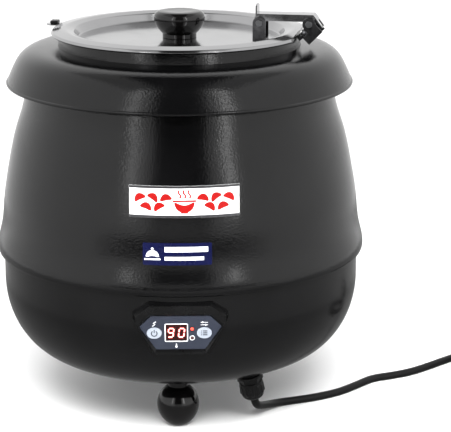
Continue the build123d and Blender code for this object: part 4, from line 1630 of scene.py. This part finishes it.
def bean_edge(x: float, z: float, length: float, tilt: float) -> np.ndarray:
    """Outline of a bean: an ellipse whose middle bows up, turned by a tilt.

    The points are (a cos t, b sin t + bow (cos t squared - a half)), then turned.

    Args:
        x: Middle, across.
        z: Middle, up.
        length: Full length.
        tilt: Turn in degrees.

    Returns:
        Points as (x, z).
    """
    t = np.arange(40) * TURN / 40
    a, b, bow = length / 2, length * 0.27, -length * 0.2
    u = a * np.cos(t)
    v = b * np.sin(t) + bow * (np.cos(t) ** 2 - 0.5)
    turn = math.radians(tilt)
    return np.stack(
        [
            x + u * math.cos(turn) - v * math.sin(turn),
            z + u * math.sin(turn) + v * math.cos(turn),
        ],
        axis=1,
    )


@dataclass
class WallPlates:
    """The sign and the badge on the upper shell, with generic pictures for wording."""

    body: KettleBody
    sign_at: tuple[float, float] = (3.5, 254.5)
    sign_size: tuple[float, float] = (104.0, 29.3)
    badge_at: tuple[float, float] = (-3.5, 205.7)
    badge_size: tuple[float, float] = (65.0, 21.0)
    sign_ink: tuple[float, float] = (0.55, 0.68)
    badge_ink: tuple[float, float] = (0.46, 0.56)
    bean_length: float = 11.2

    def sign(self, wall: Carrier) -> None:
        """White sign with a dark border, a red bowl and beans on both sides of it.

        Args:
            wall: The upper shell's wall.
        """
        x, z = self.sign_at
        width, height = self.sign_size
        face = box_edge(x, z, width, height, 1.0)
        plate = wall.filled("sign_plate_face", face, 0.08, 0.6, 8)
        dress(plate, SIGN_FACE, "kettle", "sign_plate")
        outer = box_edge(x, z, width - 0.1, height - 0.1, 1.0)
        inner = box_edge(x, z, width - 1.0, height - 4.6, 0.3)
        border = wall.framed("sign_border", outer, inner, 0.55, 0.66)
        dress(border, SIGN_EDGE, "kettle")
        marks = []
        beans = (
            (42.0, 3.6, 25.0), (36.0, -4.6, -20.0), (29.5, 4.0, -35.0),
            (24.0, -4.6, 30.0), (17.5, 3.4, 10.0),
        )
        for side in (-1, 1):
            for dx, dz, tilt in beans:
                edge = bean_edge(x + side * dx, z + dz, self.bean_length, -side * tilt)
                marks.append(wall.filled("bean", edge, *self.sign_ink))
        bowl = arc_line(x, z - 0.5, 9.6, 180, 360, 30)
        foot = np.array([(x + 4.2, z - 10.6), (x - 4.2, z - 10.6)])
        edge = np.concatenate([bowl[:13], foot[::-1], bowl[17:]])
        marks.append(wall.filled("bowl", edge, *self.sign_ink))
        rim = level_line(x - 11.2, x + 11.2, z + 0.8, 20)
        marks.append(wall.stroke("bowl_rim", rim, 1.6, *self.sign_ink))
        s = np.linspace(0, 1, 20)
        for dx in (-4.6, 0.0, 4.6):
            sway = x + dx + 1.1 * np.sin(s * TURN)
            wave = np.stack([sway, z + 3.4 + 7.4 * s], axis=1)
            marks.append(wall.stroke("steam", wave, 1.5, *self.sign_ink))
        dress(joined("sign_pictures", marks), SIGN_RED, "kettle")

    def badge(self, wall: Carrier) -> None:
        """Blue badge with a white dish cover and two bars.

        Args:
            wall: The upper shell's wall.
        """
        x, z = self.badge_at
        width, height = self.badge_size
        face = box_edge(x, z, width, height, 1.2)
        plate = wall.filled("badge_face", face, 0.08, 0.5, 8)
        dress(plate, BADGE_FACE, "kettle", "badge")
        left = x - 23.5
        dome = arc_line(left, z - 2.6, 6.2, 0, 180, 24)
        knob = oval_edge(left, z + 5.0, 2.4, 2.4)
        marks = [
            wall.filled("dome", dome, *self.badge_ink),
            wall.filled("dome_knob", knob, *self.badge_ink),
        ]
        bars = [
            (left - 7.6, left + 7.6, -4.9, 1.5),
            (x - 12.0, x + 29.0, 4.4, 5.0),
            (x - 12.0, x + 25.0, -4.2, 3.4),
        ]
        for first, last, dz, tall in bars:
            line = level_line(first, last, z + dz, 24)
            marks.append(wall.stroke("bar", line, tall, *self.badge_ink))
        dress(joined("badge_pictures", marks), BADGE_INK, "kettle")

    def build(self) -> None:
        """Make both plates."""
        wall = Carrier(body=self.body)
        self.sign(wall)
        self.badge(wall)


@dataclass
class ControlPanel:
    """Bezel, label, display, lamps and buttons. Sizes are in millimetres."""

    label_y: float = -186.6
    power_x: float = -26.0
    set_x: float = 21.5
    button_z: float = 129.1
    display_at: tuple[float, float] = (-5.0, 129.2)
    display_size: tuple[float, float] = (21.6, 17.7)
    lamp_x: float = 10.0
    lamp_z: tuple[float, float] = (132.9, 123.9)
    lamp_r: float = 1.6
    cap_depth: float = 0.9
    cap_ink: tuple[float, float] = (-0.02, 0.06)
    line_ink: tuple[float, float] = (0.0, 0.07)
    spot_ink: tuple[float, float] = (0.0, 0.08)

    def digit(
        self, window: Carrier, x: float, z: float, lit: str, grow: float
    ) -> list[bpy.types.Object]:
        """One seven-part digit, leaning a little.

        Args:
            window: The display's front.
            x: Middle, across.
            z: Middle, up.
            lit: The lit parts, as the letters a to g.
            grow: Added to the width of the strokes.

        Returns:
            The parts.
        """
        half, tall, lean = 2.45, 4.3, 0.12
        runs = {
            "a": ((-half, tall), (half, tall)),
            "b": ((half, tall), (half, 0)),
            "c": ((half, 0), (half, -tall)),
            "d": ((-half, -tall), (half, -tall)),
            "e": ((-half, 0), (-half, -tall)),
            "f": ((-half, tall), (-half, 0)),
            "g": ((-half, 0), (half, 0)),
        }
        parts = []
        for name in lit:
            a, b = (np.array(p, float) for p in runs[name])
            way = (b - a) / np.linalg.norm(b - a)
            line = np.linspace(a + 0.55 * way, b - 0.55 * way, 4)
            line[:, 0] += lean * line[:, 1]
            line += (x, z)
            high = 0.05 if grow else 0.1
            parts.append(window.stroke("part", line, 1.0 + grow, 0.0, high))
        return parts

    def display(self) -> None:
        """White surround, dark red window and the digits 9 and 0 with a faint halo."""
        x, z = self.display_at
        width, height = self.display_size
        label = Carrier(depth=self.label_y)
        outer = box_edge(x, z, width + 0.5, height + 0.4, 1.2)
        inner = box_edge(x, z, width - 1.3, height - 1.4, 0.6)
        surround = label.framed("display_surround", outer, inner, 0.0, 0.09)
        dress(surround, WHITE_INK, "kettle")
        dress(refined_copy("display_window", 0.12), RED_WINDOW, "kettle")
        window = Carrier(depth=self.label_y + 0.3)
        layers = (("digit_halo", 1.1, HALO), ("lit_digits", 0.0, DIGIT))
        for name, grow, finish in layers:
            parts = self.digit(window, x - 5.2, z - 0.2, "abcdfg", grow)
            parts += self.digit(window, x + 4.9, z - 0.2, "abcdef", grow)
            dress(joined(name, parts), finish, "kettle")

    def lamps(self) -> None:
        """Two small domed lamps, the upper one lit, each with a printed ring."""
        label = Carrier(depth=self.label_y)
        lamps = ((RED_LENS, "lit"), (DARK_LENS, "unlit"))
        for z, (finish, name) in zip(self.lamp_z, lamps):
            ring = label.framed(
                f"lamp_ring_{name}",
                oval_edge(self.lamp_x, z, 4.9, 4.9),
                oval_edge(self.lamp_x, z, 3.5, 3.5),
                *self.spot_ink,
            )
            dress(ring, DARK_INK if name == "lit" else WHITE_INK, "kettle")
            t = np.linspace(0, math.pi / 2, 8)
            dome = np.stack([self.lamp_r * np.cos(t), 0.3 + 0.6 * np.sin(t)], axis=1)
            section = np.concatenate([[(0.0, -0.2), (self.lamp_r, -0.2)], dome])
            axis = Axis((self.lamp_x, self.label_y - 0.25, z), (0.0, -1.0, 0.0))
            dress(axis.turned(f"lamp_{name}", section, 40), finish, "kettle")

    def symbols(self) -> None:
        """Power sign and list sign on the buttons, and small marks over the label."""
        cap = Carrier(depth=self.label_y - self.cap_depth)
        x, z = self.power_x, self.button_z
        ring = arc_line(x, z - 0.3, 2.7, 125, 415)
        bar = np.array([(x, z + 0.3), (x, z + 1.8), (x, z + 3.4)])
        power = [
            cap.stroke("ring", ring, 0.95, *self.cap_ink),
            cap.stroke("bar", bar, 0.95, *self.cap_ink),
        ]
        dress(joined("power_sign", power), DARK_INK, "power_button")
        x = self.set_x
        rows = []
        for dz in (-1.9, 0.0, 1.9):
            line = np.array([(x - 1.2, z + dz), (x + 1.0, z + dz), (x + 2.9, z + dz)])
            dot = oval_edge(x - 2.6, z + dz, 1.0, 1.0, 16)
            rows.append(cap.stroke("row", line, 0.95, *self.cap_ink))
            rows.append(cap.filled("dot", dot, *self.cap_ink))
        dress(joined("list_sign", rows), DARK_INK, "set_button")
        label = Carrier(depth=self.label_y)
        top = self.button_z + 9.0
        turns = ((1.6, 2.3), (-1.0, 0.2), (1.0, -0.2), (-1.6, -2.3))
        bolt = np.array(turns) + (self.power_x, top)
        marks = [label.stroke("bolt", bolt, 0.8, *self.line_ink)]
        for dz, share in ((1.2, -1.4), (-1.2, 1.4)):
            line = level_line(x - 3.4, x + 3.4, top + dz, 3)
            dot = oval_edge(x + share, top + dz, 1.6, 1.6, 20)
            marks.append(label.stroke("slide", line, 0.5, *self.line_ink))
            marks.append(label.filled("slider", dot, *self.spot_ink))
        x, low = self.display_at[0], self.display_at[1] - 12.9
        stem = np.array([(x, low - 0.6), (x, low + 0.6), (x, low + 2.0)])
        bulb = oval_edge(x, low - 1.0, 2.2, 2.2, 20)
        marks.append(label.stroke("stem", stem, 0.9, *self.line_ink))
        marks.append(label.filled("bulb", bulb, *self.spot_ink))
        dress(joined("label_marks", marks), WHITE_INK, "kettle")

    def build(self) -> None:
        """Make the panel."""
        dress(refined_copy("panel_bezel", 0.5), NYLON, "kettle")
        dress(refined_copy("panel_label", 0.12), LABEL_FILM, "kettle")
        dress(refined_copy("power_button", 0.35), BUTTON, "power_button")
        dress(refined_copy("set_button", 0.35), BUTTON, "set_button")
        self.display()
        self.lamps()
        self.symbols()


# --- whole ----------------------------------------------------------------------------


@dataclass
class CarriedNodes:
    """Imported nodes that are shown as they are, each in its slot's finish."""

    count: int = 0

    def build(self) -> None:
        """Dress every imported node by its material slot."""
        subparts = frame["record"]["subparts"]
        slots = {row["node"]: row["material_slot"] for row in subparts}
        for node, piece in frame["nodes"].items():
            material = SLOT_FINISH[slots[node]].material()
            if not piece.data.materials:
                piece.data.materials.append(material)
            for i in range(len(piece.material_slots)):
                piece.material_slots[i].material = material
            self.count += 1
        LOG.info("%d packed nodes dressed by their slots", self.count)


def main() -> None:
    """Build the studio and the kettle."""
    logging.basicConfig(level=logging.INFO, format="%(name)s %(message)s")
    Studio().build()
    CarriedNodes().build()
    MainsLead().build()
    body = KettleBody()
    body.build()
    SoupPot().build()
    CollarRing().build()
    Lid().build()
    for side, at in FEET.items():
        BallFoot(side, at).build()
    WallPlates(body).build()
    ControlPanel().build()


if __name__ == "__main__":
    main()
